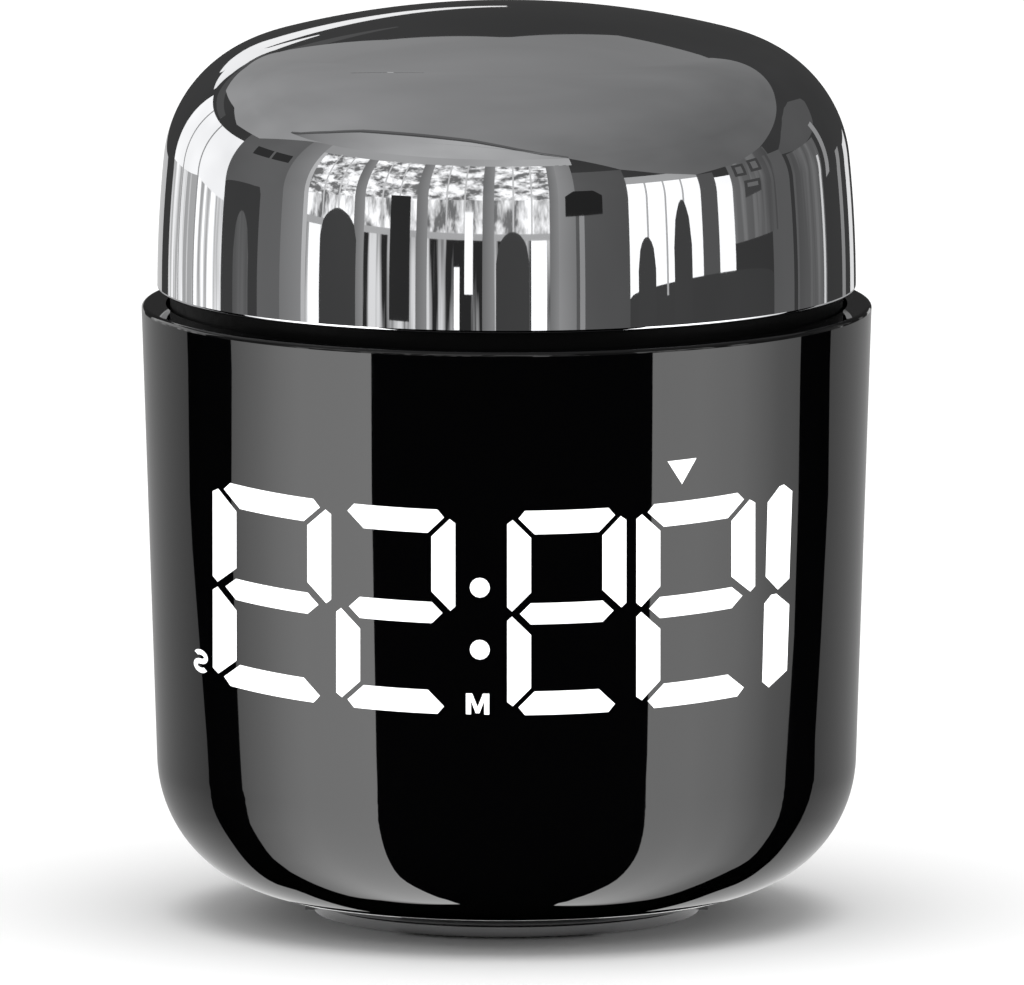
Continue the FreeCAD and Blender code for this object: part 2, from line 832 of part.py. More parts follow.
def encoder_base():
    """Moulded encoder housing with a guide for the push plunger."""
    base = block((0, 0), encoder_side, encoder_side, board_top, encoder_top)
    guide_top = plunger_top - switch_travel - inside_clearance
    wide = ring(encoder_cavity_radius, 0, guide_top, encoder_top)
    guide = ring(plunger_radius + inside_clearance, 0, board_top + encoder_floor, guide_top)
    return base.cut(wide).cut(guide)


def encoder_pins():
    """Solder pins of the encoder."""
    return Part.makeCompound([post(pin_radius, place, board_bottom - board_stand / 2, board_top)
                              for place in pin_places()])


def encoder_bushing():
    """Metal top plate with the threaded neck that the shaft turns in."""
    plate = block((0, 0), encoder_side, encoder_side, encoder_top, deck_low)
    neck = ring(bushing_radius, 0, deck_low, bushing_top)
    bushing = plate.fuse(neck).cut(ring(shaft_radius + shaft_clearance, 0, encoder_top, bushing_top))
    return bushing.removeSplitter()


def switch_dome():
    """Snap dome under the plunger, at rest."""
    sphere_radius = (dome_radius ** 2 + dome_rise ** 2) / (2 * dome_rise)
    low = board_top + encoder_floor
    centre = Vector(0, 0, low + dome_rise - sphere_radius)
    cap = Part.makeSphere(sphere_radius, centre).cut(Part.makeSphere(sphere_radius - dome_thickness, centre))
    return cap.common(ring(dome_radius, 0, low, low + dome_rise))


def switch_plunger():
    """Slider that takes the knob's push down to the snap dome."""
    return ring(plunger_radius, 0, plunger_top - plunger_length, plunger_top)


def encoder_shaft():
    """Flanged shaft with a flat for the knob."""
    flange_low = plunger_top + contact_clearance
    shaft = ring(shaft_radius, 0, flange_low, shaft_top)
    flange = ring(shaft_flange_radius, 0, flange_low, flange_low + shaft_flange_height)
    flat_cut = box(shaft_flat, 2 * shaft_radius, -shaft_radius, shaft_radius, hub_low, shaft_top)
    return shaft.cut(flat_cut).fuse(flange).removeSplitter()


def hexagon(across, low, high):
    corner = across / 2 / math.cos(math.radians(30))
    points = [Vector(x, y, low) for x, y in around(6, corner, 0)]
    return Part.Face(Part.makePolygon(points + points[:1])).extrude(Vector(0, 0, high - low))


def encoder_washer():
    return ring(washer_radius, bushing_radius, deck_top, deck_top + washer_height)


def encoder_nut():
    """Hexagon nut that holds the encoder to the deck."""
    low = deck_top + washer_height
    nut = hexagon(nut_across_flats, low, low + nut_height)
    return nut.cut(ring(bushing_radius, 0, low, low + nut_height))


def top_deck():
    """Upturned black cup whose wall shows as the neck between the body and the knob."""
    deck = ring(neck_radius, 0, board_bottom, deck_top)
    deck = rounded_at(deck, neck_radius, deck_top, deck_wall / 3)
    deck = deck.cut(ring(neck_radius - deck_wall, 0, board_bottom, deck_low))
    deck = deck.fuse([post(deck_post_radius, place, board_top, deck_low) for place in boss_places])
    head_room = screw_head_radius + inside_clearance
    for place in boss_places:
        deck = deck.cut(post(screw_radius, place, board_top, deck_top))
        deck = deck.cut(post(head_room, place, deck_top - screw_head_height, deck_top))
    deck = deck.cut(post(sound_hole_radius, buzzer_place, deck_low, deck_top))
    return deck.cut(ring(bushing_radius, 0, deck_low, deck_top)).removeSplitter()


def cap_line(inset, bottom):
    """Edges of the cap's outline, moved inwards by inset, from a height up to its crown."""
    side_centre = flat(cap_radius - side_curve_radius, cap_base)
    crown_centre = flat(0, cap_top - crown_radius)
    shoulder_centre = arcs_meeting(side_centre, side_curve_radius - shoulder_radius,
                                   crown_centre, crown_radius - shoulder_radius)
    along_side = shoulder_centre - side_centre
    along_side.normalize()
    along_crown = shoulder_centre - crown_centre
    along_crown.normalize()
    side_reach = side_curve_radius - inset
    low = flat(side_centre.x + math.sqrt(side_reach ** 2 - (bottom - cap_base) ** 2), bottom)
    shoulder_low = shoulder_centre + along_side * (shoulder_radius - inset)
    shoulder_high = shoulder_centre + along_crown * (shoulder_radius - inset)
    peak = flat(0, cap_top - inset)
    edges = [arc(side_centre, low, shoulder_low), arc(shoulder_centre, shoulder_low, shoulder_high),
             arc(crown_centre, shoulder_high, peak)]
    return edges, low, peak


def cap_body(inset, bottom):
    edges, low, peak = cap_line(inset, bottom)
    foot = flat(0, bottom)
    return revolved(edges + [line(peak, foot), line(foot, low)])


def knob_cap():
    """Chrome-plated dome with a thin skirt that runs down over the deck's neck."""
    whole = cap_body(0, cap_base)
    whole = rounded_at(whole, cap_radius, cap_base, skirt_round)
    cap = whole.cut(cap_body(cap_wall, skirt_top))
    cap = cap.cut(ring(cap_radius - skirt_wall, 0, cap_base, skirt_top))
    room = cap_body(cap_wall / 2, carrier_top)
    for place in around(cap_boss_count, cap_boss_circle, boss_start):
        cap = cap.fuse(post(cap_boss_radius, place, carrier_top, cap_top).common(room))
        cap = cap.cut(post(screw_radius, place, carrier_top, carrier_low + short_screw))
    return cap.removeSplitter()


def knob_carrier():
    """Ribbed plate and hub that join the cap to the encoder's shaft."""
    plate = ring(carrier_radius, 0, carrier_low, carrier_top)
    hub = ring(hub_radius, 0, hub_low, hub_high)
    pieces = [hub]
    for step in range(carrier_rib_count):
        rib = box(0, carrier_radius - carrier_rib, -carrier_rib / 2, carrier_rib / 2,
                  carrier_low - carrier_rib_height, carrier_low)
        pieces.append(turned(rib, 360 / carrier_rib_count * step))
    carrier = plate.fuse(pieces)
    bore = ring(shaft_radius + contact_clearance, 0, hub_low, hub_high)
    flat_x = shaft_flat + contact_clearance
    carrier = carrier.cut(bore.cut(box(flat_x, hub_radius, -hub_radius, hub_radius, hub_low, hub_high)))
    for place in around(cap_boss_count, cap_boss_circle, boss_start):
        carrier = carrier.cut(post(screw_radius, place, carrier_low, carrier_top))
    return carrier.removeSplitter()


def foot_screws():
    return screw_set(boss_places, flange_height + flange_thickness, short_screw)


def deck_screws():
    return screw_set(boss_places, deck_top - screw_head_height, deck_screw)


def knob_screws():
    places = around(cap_boss_count, cap_boss_circle, boss_start)
    return screw_set(places, carrier_low, short_screw, from_below=True)


pieces = {
    "outer_shell": outer_shell(),
    "light_well_frame": light_wells(),
    "light_guides": light_guides(),
    "display_leds": display_leds(),
    "display_board": display_board(),
    "driver_chip": driver_chip(),
    "board_ribbon": board_ribbon(),
    "battery_chassis": battery_chassis(),
    "display_screws": display_screws(),
    "foot_screws": foot_screws(),
    "left_cell": cell(cell_places["left"], True),
    "right_cell": cell(cell_places["right"], False),
    "rear_cell": cell(cell_places["rear"], True),
    "upper_output_contact": upper_output_contact(),
    "upper_bridge_contact": upper_bridge_contact(),
    "right_cell_spring": cone_spring(cell_places["right"], upper_contact_top - contact_thickness, -1),
    "return_rod": return_rod(),
    "control_board": control_board(),
    "control_chip": control_chip(),
    "buzzer": buzzer(),
    "smoothing_capacitor": smoothing_capacitor(),
    "timing_crystal": timing_crystal(),
    "board_resistors": board_resistors(),
    "encoder_base": encoder_base(),
    "encoder_pins": encoder_pins(),
    "encoder_bushing": encoder_bushing(),
    "encoder_washer": encoder_washer(),
    "encoder_nut": encoder_nut(),
    "switch_dome": switch_dome(),
    "top_deck": top_deck(),
    "deck_screws": deck_screws(),
    "switch_plunger": switch_plunger(),
    "encoder_shaft": encoder_shaft(),
    "knob_carrier": knob_carrier(),
    "knob_screws": knob_screws(),
    "knob_cap": knob_cap(),
    "battery_cover": battery_cover(),
    "foot_ring": foot_ring(),
    "lower_bridge_contact": lower_bridge_contact(),
    "lower_return_contact": lower_return_contact(),
    "left_cell_spring": cone_spring(cell_places["left"], plug_top + contact_thickness, 1),
    "rear_cell_spring": cone_spring(cell_places["rear"], plug_top + contact_thickness, 1),
}

os.makedirs("parts", exist_ok=True)
for name, shape in pieces.items():
    if not shape.isValid() or not shape.Solids:
        print("check the shape of", name)
    shape.exportStep(f"parts/{name}.step")
print(len(pieces), "nodes, height", round(cap_top, 2), "neck", round(neck_radius, 2),
      "cap", round(cap_radius, 2), "rod", round(cluster_y, 2))
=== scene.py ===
import bmesh
import bpy
import math
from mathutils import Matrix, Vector


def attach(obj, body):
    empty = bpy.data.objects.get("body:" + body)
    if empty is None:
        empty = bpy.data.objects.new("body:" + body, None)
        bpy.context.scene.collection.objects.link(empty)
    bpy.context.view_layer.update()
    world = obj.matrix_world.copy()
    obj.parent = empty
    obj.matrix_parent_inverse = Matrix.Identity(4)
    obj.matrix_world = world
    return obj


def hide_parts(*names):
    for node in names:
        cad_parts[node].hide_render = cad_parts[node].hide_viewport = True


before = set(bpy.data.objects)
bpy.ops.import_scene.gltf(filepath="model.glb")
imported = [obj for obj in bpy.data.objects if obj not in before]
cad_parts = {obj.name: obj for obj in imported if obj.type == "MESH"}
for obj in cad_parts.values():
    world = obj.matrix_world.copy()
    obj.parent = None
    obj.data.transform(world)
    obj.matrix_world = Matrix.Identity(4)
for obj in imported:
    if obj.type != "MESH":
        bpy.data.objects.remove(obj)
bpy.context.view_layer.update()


# Outer shell. The real one is a single moulding in smoked plastic, polished to a deep gloss, so
# that it looks black until the display behind it is lit. Its wall leans out a little towards the
# flat rim, its underside is a shallow bowl, and three bosses inside take the foot screws.
mm = 0.001
rim_radius = 33.0
rim_height = 55.6
rim_round = 0.4
wall_draft = math.radians(1.9)
shell_wall = 2.2
corner_radius = 12.4
bowl_radius = 60.0
bowl_slope = math.radians(12.7)
foot_radius = 18.1
foot_height = 1.4
lip_height = 2.5
lip_radius = 15.95
recess_radius = 17.4
shell_boss_radius = 2.6
shell_boss_root = 3.6
shell_boss_mouth = 8.5
shell_bore_floor = 4.1
foot_screw_circle = 22.0
boss_count = 3
boss_azimuth = math.radians(30)
boss_bore = 1.0
boss_chamfer = 0.15
shell_steps = 320
boss_steps = 48
corner_steps = 36
bowl_steps = 10
rim_steps = 6
hold_margin = 0.04
sharp_angle = math.radians(35)
weld_distance = 1e-6
wall_up = Vector((math.sin(wall_draft), math.cos(wall_draft)))
wall_out = Vector((math.cos(wall_draft), -math.sin(wall_draft)))
bowl_centre = Vector((foot_radius - bowl_radius * math.sin(bowl_slope),
                      foot_height + bowl_radius * math.cos(bowl_slope)))


class Amount:
    """A shader value that takes part in ordinary sums; every sum adds its own Math node."""

    def __init__(self, tree, socket):
        self.tree = tree
        self.socket = socket

    def worked(self, operation, *terms):
        node = self.tree.nodes.new("ShaderNodeMath")
        node.operation = operation
        for plug, term in zip(node.inputs, terms):
            plug_in(self.tree, plug, term)
        return Amount(self.tree, node.outputs[0])

    def __add__(self, other):
        return self.worked("ADD", self, other)

    def __sub__(self, other):
        return self.worked("SUBTRACT", self, other)

    def __rsub__(self, other):
        return self.worked("SUBTRACT", other, self)

    def __mul__(self, other):
        return self.worked("MULTIPLY", self, other)

    def __truediv__(self, other):
        return self.worked("DIVIDE", self, other)

    def __pow__(self, other):
        return self.worked("POWER", self, other)

    __radd__ = __add__
    __rmul__ = __mul__


def plug_in(tree, plug, value):
    """Links a socket, or sets it to a plain number or colour."""
    if isinstance(value, Amount):
        tree.links.new(value.socket, plug)
    else:
        plug.default_value = value


class Finish:
    """A material in the making: its shader's constants, and one method for any other node."""

    def __init__(self, name, colour, **constants):
        self.material = bpy.data.materials.new(name)
        self.material.use_nodes = True
        self.material.diffuse_color = (*colour, 1)
        self.tree = self.material.node_tree
        self.shader = self.tree.nodes["Principled BSDF"]
        self.put("Base Color", (*colour, 1))
        for plug, value in constants.items():
            self.put(plug.replace("_", " "), value)

    def put(self, plug, value):
        plug_in(self.tree, self.shader.inputs[plug], value)

    def node(self, kind, settings, values, output=0):
        node = self.tree.nodes.new("ShaderNode" + kind)
        for field, setting in settings.items():
            if field == "stops":
                for element, (place, colour) in zip(node.color_ramp.elements, setting):
                    element.position = place
                    element.color = colour
            else:
                setattr(node, field, setting)
        for plug, value in values.items():
            plug_in(self.tree, node.inputs[plug], value)
        return Amount(self.tree, node.outputs[output])

    def place(self):
        """Object coordinates, in metres."""
        return self.node("TexCoord", {}, {}, "Object")

    def noise(self, size, detail=2.0, roughness=0.5):
        """Even noise from 0 to 1 whose features are about as large as the size, in millimetres."""
        return self.node("TexNoise", {}, {"Vector": self.place(), "Scale": 1 / (size * mm),
                                          "Detail": detail, "Roughness": roughness}, "Fac")

    def mixed(self, share, low, high):
        """A colour between two colours."""
        return self.node("Mix", {"data_type": "RGBA"}, {0: share, 6: low, 7: high}, 2)

    def mottled(self, size, detail, low, high):
        """Base colour that drifts between two colours."""
        self.put("Base Color", self.mixed(self.noise(size, detail), (*low, 1), (*high, 1)))

    def roughened(self, base, spread, size, detail=2.0):
        """Roughness that goes up from its base by a spread at most, in patches of a size in millimetres."""
        self.put("Roughness", base + self.noise(size, detail) * spread)

    def bump(self, height, depth):
        """Surface relief from a value from 0 to 1, as deep as given, in millimetres."""
        self.put("Normal", self.node("Bump", {}, {"Height": height, "Distance": depth * mm, "Strength": 1.0}))


def arc_points(centre, radius, start, end, count):
    """Points along an arc, from one angle to another, in degrees from the outward direction."""
    angles = [math.radians(start + (end - start) * i / count) for i in range(count + 1)]
    return [(centre[0] + radius * math.cos(a), centre[1] + radius * math.sin(a)) for a in angles]


def body_corner():
    """Centre of the corner arc, which touches both the wall and the bowl."""
    start = Vector((rim_radius, rim_height)) - wall_out * corner_radius
    to_start = start - bowl_centre
    half = to_start.dot(wall_up)
    rest = to_start.dot(to_start) - (bowl_radius - corner_radius) ** 2
    return start + wall_up * (-half - math.sqrt(half ** 2 - rest))


def wall_radius(height, inset=0.0):
    return rim_radius - (rim_height - height) * math.tan(wall_draft) - inset / math.cos(wall_draft)


def body_outline(inset, low_radius, high, rows):
    """The shell's line from its underside up, moved inwards by inset."""
    corner = body_corner()
    tangent = math.degrees(math.atan2(corner.y - bowl_centre.y, corner.x - bowl_centre.x))
    low = -math.degrees(math.acos((low_radius - bowl_centre.x) / (bowl_radius - inset)))
    points = arc_points(bowl_centre, bowl_radius - inset, low, tangent, bowl_steps)
    points += arc_points(corner, corner_radius - inset, tangent, -math.degrees(wall_draft), corner_steps)[1:]
    start = points[-1][1]
    heights = [start + (high - start) * i / rows for i in range(1, rows + 1)]
    return points + [(wall_radius(z, inset), z) for z in heights]


def add_node(tree, kind, settings=(), **values):
    node = tree.nodes.new("GeometryNode" + kind)
    for field, setting in dict(settings).items():
        setattr(node, field, setting)
    for plug, value in values.items():
        socket = node.inputs[plug.replace("_", " ")]
        if isinstance(value, bpy.types.NodeSocket):
            tree.links.new(value, socket)
        else:
            socket.default_value = value
    return node


def turning_tree():
    """Node tree that turns the outline it is given round the upright axis."""
    tree = bpy.data.node_groups.new("Turned form", "GeometryNodeTree")
    for name, kind in (("Outline", "Geometry"), ("Steps", "Int"), ("Sharp Angle", "Float"),
                       ("Finish", "Material")):
        tree.interface.new_socket(name, in_out="INPUT", socket_type="NodeSocket" + kind)
    tree.interface.new_socket("Form", in_out="OUTPUT", socket_type="NodeSocketGeometry")
    given = tree.nodes.new("NodeGroupInput").outputs
    path = add_node(tree, "CurvePrimitiveCircle", Resolution=given["Steps"], Radius=1.0)
    form = add_node(tree, "CurveToMesh", Curve=path.outputs["Curve"], Profile_Curve=given["Outline"])
    welded = add_node(tree, "MergeByDistance", Geometry=form.outputs["Mesh"], Distance=weld_distance)
    edge = add_node(tree, "InputMeshEdgeAngle")
    sharp = tree.nodes.new("FunctionNodeCompare")
    sharp.operation = "GREATER_THAN"
    tree.links.new(edge.outputs["Unsigned Angle"], sharp.inputs[0])
    tree.links.new(given["Sharp Angle"], sharp.inputs[1])
    shaded = add_node(tree, "SetShadeSmooth", {"domain": "FACE"}, Geometry=welded.outputs["Geometry"],
                      Shade_Smooth=True)
    creased = add_node(tree, "SetShadeSmooth", {"domain": "EDGE"}, Geometry=shaded.outputs["Geometry"],
                       Selection=sharp.outputs["Result"], Shade_Smooth=False)
    whole = add_node(tree, "RealizeInstances", Geometry=creased.outputs["Geometry"])
    finished = add_node(tree, "SetMaterial", Geometry=whole.outputs["Geometry"], Material=given["Finish"])
    tree.links.new(finished.outputs["Geometry"], tree.nodes.new("NodeGroupOutput").inputs["Form"])
    return tree


turned_form = turning_tree()


def made_plain(name, source, tree, **given):
    """Runs a node tree on an object and keeps the result as a plain mesh piece."""
    modifier = source.modifiers.new(tree.name, "NODES")
    modifier.node_group = tree
    for item in tree.interface.items_tree:
        if item.item_type == "SOCKET" and item.name in given:
            modifier[item.identifier] = given[item.name]
    whole = source.evaluated_get(bpy.context.evaluated_depsgraph_get())
    mesh = bpy.data.meshes.new_from_object(whole, depsgraph=bpy.context.evaluated_depsgraph_get())
    bpy.data.objects.remove(source)
    return piece_from(name, mesh)


def added(name, data):
    """Makes an object of its data and puts it in the scene."""
    item = bpy.data.objects.new(name, data)
    bpy.context.scene.collection.objects.link(item)
    return item


def piece_from(name, mesh):
    """Makes a mesh an object at the origin, closed and with its faces outwards."""
    work = bmesh.new()
    work.from_mesh(mesh)
    bmesh.ops.remove_doubles(work, verts=work.verts, dist=weld_distance / 10)
    bmesh.ops.recalc_face_normals(work, faces=work.faces)
    work.to_mesh(mesh)
    work.free()
    return added(name, mesh)


def held(outline):
    """Adds a point close to the end of a long run that meets a short one, so that the polish stays true."""
    runs = [math.dist(a, b) for a, b in zip(outline, outline[1:])]
    runs = [runs[0]] + runs + [runs[-1]]
    points = [outline[0]]
    for i, ((r, z), (next_r, next_z)) in enumerate(zip(outline, outline[1:]), 1):
        shares = []
        if runs[i - 1] < runs[i] / 2:
            shares.append(hold_margin / runs[i])
        if runs[i + 1] < runs[i] / 2:
            shares.append(1 - hold_margin / runs[i])
        points += [(r + (next_r - r) * share, z + (next_z - z) * share) for share in shares]
        points.append((next_r, next_z))
    return points


def lathe(name, outline, finish, steps, closed=True):
    """Turns an outline of (radius, height) points, in millimetres, round the upright axis."""
    outline = held(outline)
    curve = bpy.data.curves.new(name, "CURVE")
    curve.dimensions = "3D"
    spline = curve.splines.new("POLY")
    spline.points.add(len(outline) - 1)
    for point, (radius, height) in zip(spline.points, outline):
        point.co = (radius * mm - 1.0, -height * mm, 0, 1)
    spline.use_cyclic_u = closed
    return made_plain(name, added(name, curve), turned_form, Steps=steps, Finish=finish.material,
                      **{"Sharp Angle": sharp_angle})


def ring_tree():
    """Node tree that stands copies of a form in a ring, at even steps from a first azimuth."""
    tree = bpy.data.node_groups.new("Ring of copies", "GeometryNodeTree")
    for name, kind in (("Form", "Geometry"), ("Count", "Int"), ("Circle", "Float"), ("First Azimuth", "Float"),
                       ("Finish", "Material")):
        tree.interface.new_socket(name, in_out="INPUT", socket_type="NodeSocket" + kind)
    tree.interface.new_socket("Ring", in_out="OUTPUT", socket_type="NodeSocketGeometry")
    given = tree.nodes.new("NodeGroupInput").outputs
    circle = add_node(tree, "MeshCircle", Vertices=given["Count"], Radius=given["Circle"])
    stood = add_node(tree, "InstanceOnPoints", Points=circle.outputs["Mesh"], Instance=given["Form"])
    turn = tree.nodes.new("ShaderNodeCombineXYZ")
    tree.links.new(given["First Azimuth"], turn.inputs["Z"])
    placed = add_node(tree, "Transform", Geometry=stood.outputs["Instances"], Rotation=turn.outputs["Vector"])
    whole = add_node(tree, "RealizeInstances", Geometry=placed.outputs["Geometry"])
    finished = add_node(tree, "SetMaterial", Geometry=whole.outputs["Geometry"], Material=given["Finish"])
    tree.links.new(finished.outputs["Geometry"], tree.nodes.new("NodeGroupOutput").inputs["Ring"])
    return tree


ring_of_copies = ring_tree()


def bosses(name, finish, circle, radius, root, mouth, floor):
    """Three round screw bosses, from their root to the chamfered mouth of a bore that ends at its floor."""
    way = math.copysign(boss_chamfer, mouth - root)
    outline = [(0, root), (radius, root), (radius, mouth - way), (radius - boss_chamfer, mouth),
               (boss_bore + boss_chamfer, mouth), (boss_bore, mouth - way), (boss_bore, floor), (0, floor)]
    one = lathe(name, outline, finish, boss_steps, closed=False)
    return made_plain(name, one, ring_of_copies, Count=boss_count, Circle=circle * mm, Finish=finish.material,
                      **{"First Azimuth": boss_azimuth})


smoked = Finish("Smoked gloss plastic", (0.0012, 0.0012, 0.0014), IOR=1.58)
haze = smoked.noise(14, 3)
smoked.put("Roughness", 0.02 + haze ** 3 * 0.05)
smoked.bump(smoked.noise(5, 1), 0.0004)

outside = body_outline(0, foot_radius, rim_height - rim_round, 14)
rim_edge = arc_points((rim_radius - rim_round, rim_height - rim_round), rim_round, 0, 90, rim_steps)
inside = body_outline(shell_wall, recess_radius, rim_height, 8)
shell_outline = [(lip_radius, foot_height)] + outside + rim_edge[1:] + inside[::-1]
shell_outline += [(recess_radius, lip_height), (lip_radius, lip_height)]
shell = lathe("smoked_shell", shell_outline, smoked, shell_steps)
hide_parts("outer_shell")
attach(shell, "housing")
shell_bosses = bosses("shell_bosses", smoked, foot_screw_circle, shell_boss_radius, shell_boss_root,
                      shell_boss_mouth, shell_bore_floor)
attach(shell_bosses, "housing")


# Lit display. Milky guides behind the shell carry the light of each lamp to the front, and what
# one sees is the bright outline of every lit bar, dot and mark on the shell's face. The bars are
# cut by straight gaps, and the ones that are off can't be seen at all.
display_middle = 31.9
digit_centres = (-21.1, -9.95, 5.4, 17.0)
digit_width = 10.7
digit_height = 18.6
bar_width = 2.15
bar_gap = 0.45
corner_cut_x = 1.6
corner_cut_z = 1.2
bar_tip = 1.15
side_tip = 0.22
tip_blunt = 0.15
side_nose = 0.23
side_shoulder = 0.63
one_centre = 24.4
one_upper = ((-0.92, 7.86), (0.14, 9.06), (0.55, 9.14), (1.3, 8.34), (1.04, 0.39), (0.0, -0.35), (-1.1, 1.11))
one_lower = ((-1.22, -1.33), (-0.59, -0.67), (-0.13, -0.69), (1.04, -2.0), (0.84, -7.97), (-0.81, -9.11),
             (-1.4, -8.47))
dots = ((-2.4, 28.55), (-2.4, 34.2))
dot_radius = 0.9
dot_corners = 16
minute_mark = (-2.6, 23.6, 2.1, 1.9)
second_mark = (-27.55, 24.0, 1.3, 1.8)
pointer = ((14.45, 44.97), (17.05, 44.97), (15.75, 42.75))
unit_m = ((0, 0), (0, 1), (0.27, 1), (0.5, 0.36), (0.73, 1), (1, 1), (1, 0),
          (0.78, 0), (0.78, 0.64), (0.58, 0.06), (0.42, 0.06), (0.22, 0.64), (0.22, 0))
letter_bowls = ((0.73, 150, -90), (0.27, 90, 330))
letter_reach = (0.36, 0.23)
letter_half = 0.13
letter_steps = 14
row_bow = 0.08
light_proud = 0.03
light_depth = 0.3
light_strip = 0.6
lit_bars = ("abdefg", "abdeg", "abdefg", "abdefg")
middle_drops = (0.3, 0.1, 0.08, 0.18)

lit = Finish("Display light", (0.9, 0.9, 0.9), Roughness=0.3)
lit.put("Emission Color", lit.mixed(lit.noise(2), (1, 1, 1, 1), (0.97, 0.98, 1, 1)))
lit.put("Emission Strength", 1.0)


def side_bar(left, side, half):
    """One upright bar of a digit; side is 1 on the right, half is 1 in the upper half."""
    mitre = bar_gap / math.sqrt(2)
    top = digit_height / 2
    tip = (corner_cut_z - mitre) / (1 + corner_cut_z / corner_cut_x)
    points = [(0, side_shoulder), (2 * side_tip, side_nose), (bar_width, bar_width - side_tip),
              (bar_width, top - bar_width - mitre), (tip, top - tip - mitre), (0, top - corner_cut_z)]
    edge = left if side < 0 else left + digit_width
    return [(edge - side * x, display_middle + half * z) for x, z in points]


def level_bar(left, half):
    """The top or the bottom bar of a digit."""
    mitre = bar_gap / math.sqrt(2)
    top = digit_height / 2
    tip = (corner_cut_z + mitre) / (1 + corner_cut_z / corner_cut_x) + tip_blunt
    near = [(mitre + bar_width, top - bar_width), (tip, top + mitre - tip), (corner_cut_x, top)]
    points = near + [(digit_width - x, z) for x, z in reversed(near)]
    return [(left + x, display_middle + half * z) for x, z in points]


def middle_bar(left):
    """The bar across a digit's middle, pointed at both ends."""
    reach = (bar_width - side_tip) / 2
    near = [(bar_tip + reach, -reach), (bar_tip, 0), (bar_tip + reach, reach)]
    return [(left + x, display_middle + z) for x, z in near + [(digit_width - x, -z) for x, z in near]]


def lit_outlines():
    """Outline of every lit bar, dot and pointer, seen from the front."""
    outlines = []
    for centre, bars, drop in zip(digit_centres, lit_bars, middle_drops):
        left = centre - digit_width / 2
        made = {"a": level_bar(left, 1), "b": side_bar(left, 1, 1), "d": level_bar(left, -1),
                "e": side_bar(left, -1, -1), "f": side_bar(left, -1, 1), "g": middle_bar(left)}
        outlines += [[(x, z - drop if abs(z - display_middle) < bar_width else z) for x, z in made[bar]]
                     for bar in bars]
    outlines += [[(one_centre + x, display_middle + z) for x, z in bar] for bar in (one_upper, one_lower)]
    for x, z in dots:
        outlines.append(arc_points((x, z), dot_radius, 0, 360 - 360 / dot_corners, dot_corners - 1))
    outlines += [pointer, fitted(unit_m, minute_mark)]
    return outlines + [fitted(quad, second_mark) for quad in unit_s()]


def fitted(points, mark):
    """Points of a letter drawn in a unit square, moved to fill its mark's width and height."""
    x, z, width, height = mark
    return [(x + (u - 0.5) * width, z + (w - 0.5) * height) for u, w in points]


def unit_s():
    """The letter S, as a mirror image, as quads along its two bowls."""
    quads = []
    for middle, start, end in letter_bowls:
        bowl = arc_points((0, 0), 1.0, start, end, letter_steps)
        inner, outer = [[(0.5 + x * (letter_reach[0] + half), middle + z * (letter_reach[1] + half))
                         for x, z in bowl] for half in (-letter_half, letter_half)]
        quads += [[a, b, d, c] for a, b, c, d in zip(inner, inner[1:], outer, outer[1:])]
    return quads


def on_the_face(x, z, proud):
    """A front-view place laid on the shell's face, standing proud by a little."""
    lift = row_bow * (wall_radius(z) - math.sqrt(wall_radius(z) ** 2 - x ** 2))
    radius = wall_radius(z + lift) + proud
    return Vector((x, -math.sqrt(radius ** 2 - x ** 2), z + lift)) * mm


def lay_on_shell(flat):
    """Cuts a flat mesh into upright strips, gives it a thin body and bends it round the shell."""
    bmesh.ops.remove_doubles(flat, verts=flat.verts, dist=1e-5)
    bmesh.ops.triangulate(flat, faces=flat.faces)
    low = min(v.co.x for v in flat.verts)
    high = max(v.co.x for v in flat.verts)
    for i in range(1, math.ceil((high - low) / light_strip)):
        everything = flat.verts[:] + flat.edges[:] + flat.faces[:]
        bmesh.ops.bisect_plane(flat, geom=everything, plane_co=(low + i * light_strip, 0, 0),
                               plane_no=(1, 0, 0), dist=1e-6)
    grown = bmesh.ops.extrude_face_region(flat, geom=flat.faces[:])
    front = {v for v in grown["geom"] if isinstance(v, bmesh.types.BMVert)}
    for v in flat.verts:
        v.co = on_the_face(v.co.x, v.co.z, light_proud if v in front else light_proud - light_depth)
    return flat


def display_piece():
    """All lit marks as one piece."""
    whole = bpy.data.meshes.new("display_light")
    gathered = bmesh.new()
    for outline in lit_outlines():
        gathered.faces.new([gathered.verts.new((x, 0, z)) for x, z in outline])
    lay_on_shell(gathered)
    gathered.to_mesh(whole)
    gathered.free()
    piece = piece_from("display_light", whole)
    piece.data.materials.append(lit.material)
    return piece


display_light = display_piece()
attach(display_light, "housing")


# Light wells. The real part is a matt white moulding with one deep well behind each bar, so that
# no light leaks from a bar to the next. A milky guide fills the front of each well.
def dress(finish, *nodes):
    """Gives CAD pieces their finish."""
    for node in nodes:
        for material_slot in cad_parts[node].material_slots:
            material_slot.material = finish.material


well_white = Finish("Matt white reflector plastic", (0.8, 0.8, 0.78))
well_white.mottled(12, 3, (0.77, 0.77, 0.74), (0.84, 0.84, 0.82))
well_white.roughened(0.5, 0.15, 2)
well_white.bump(well_white.noise(0.3, 3), 0.008)
dress(well_white, "light_well_frame")

milky = Finish("Milky diffuser", (0.9, 0.9, 0.9), IOR=1.49)
milky.mottled(1.5, 4, (0.86, 0.87, 0.88), (0.94, 0.94, 0.94))
milky.roughened(0.3, 0.2, 1)
dress(milky, "light_guides")


# Display board. One small lamp sits behind each bar, dot and mark, soldered to an upright board
# of glass fibre under green lacquer. The driver chip is on its back, and a flat flexible cable
# runs up from it to the control board.
track_pitch = 1.9
track_width = 0.12

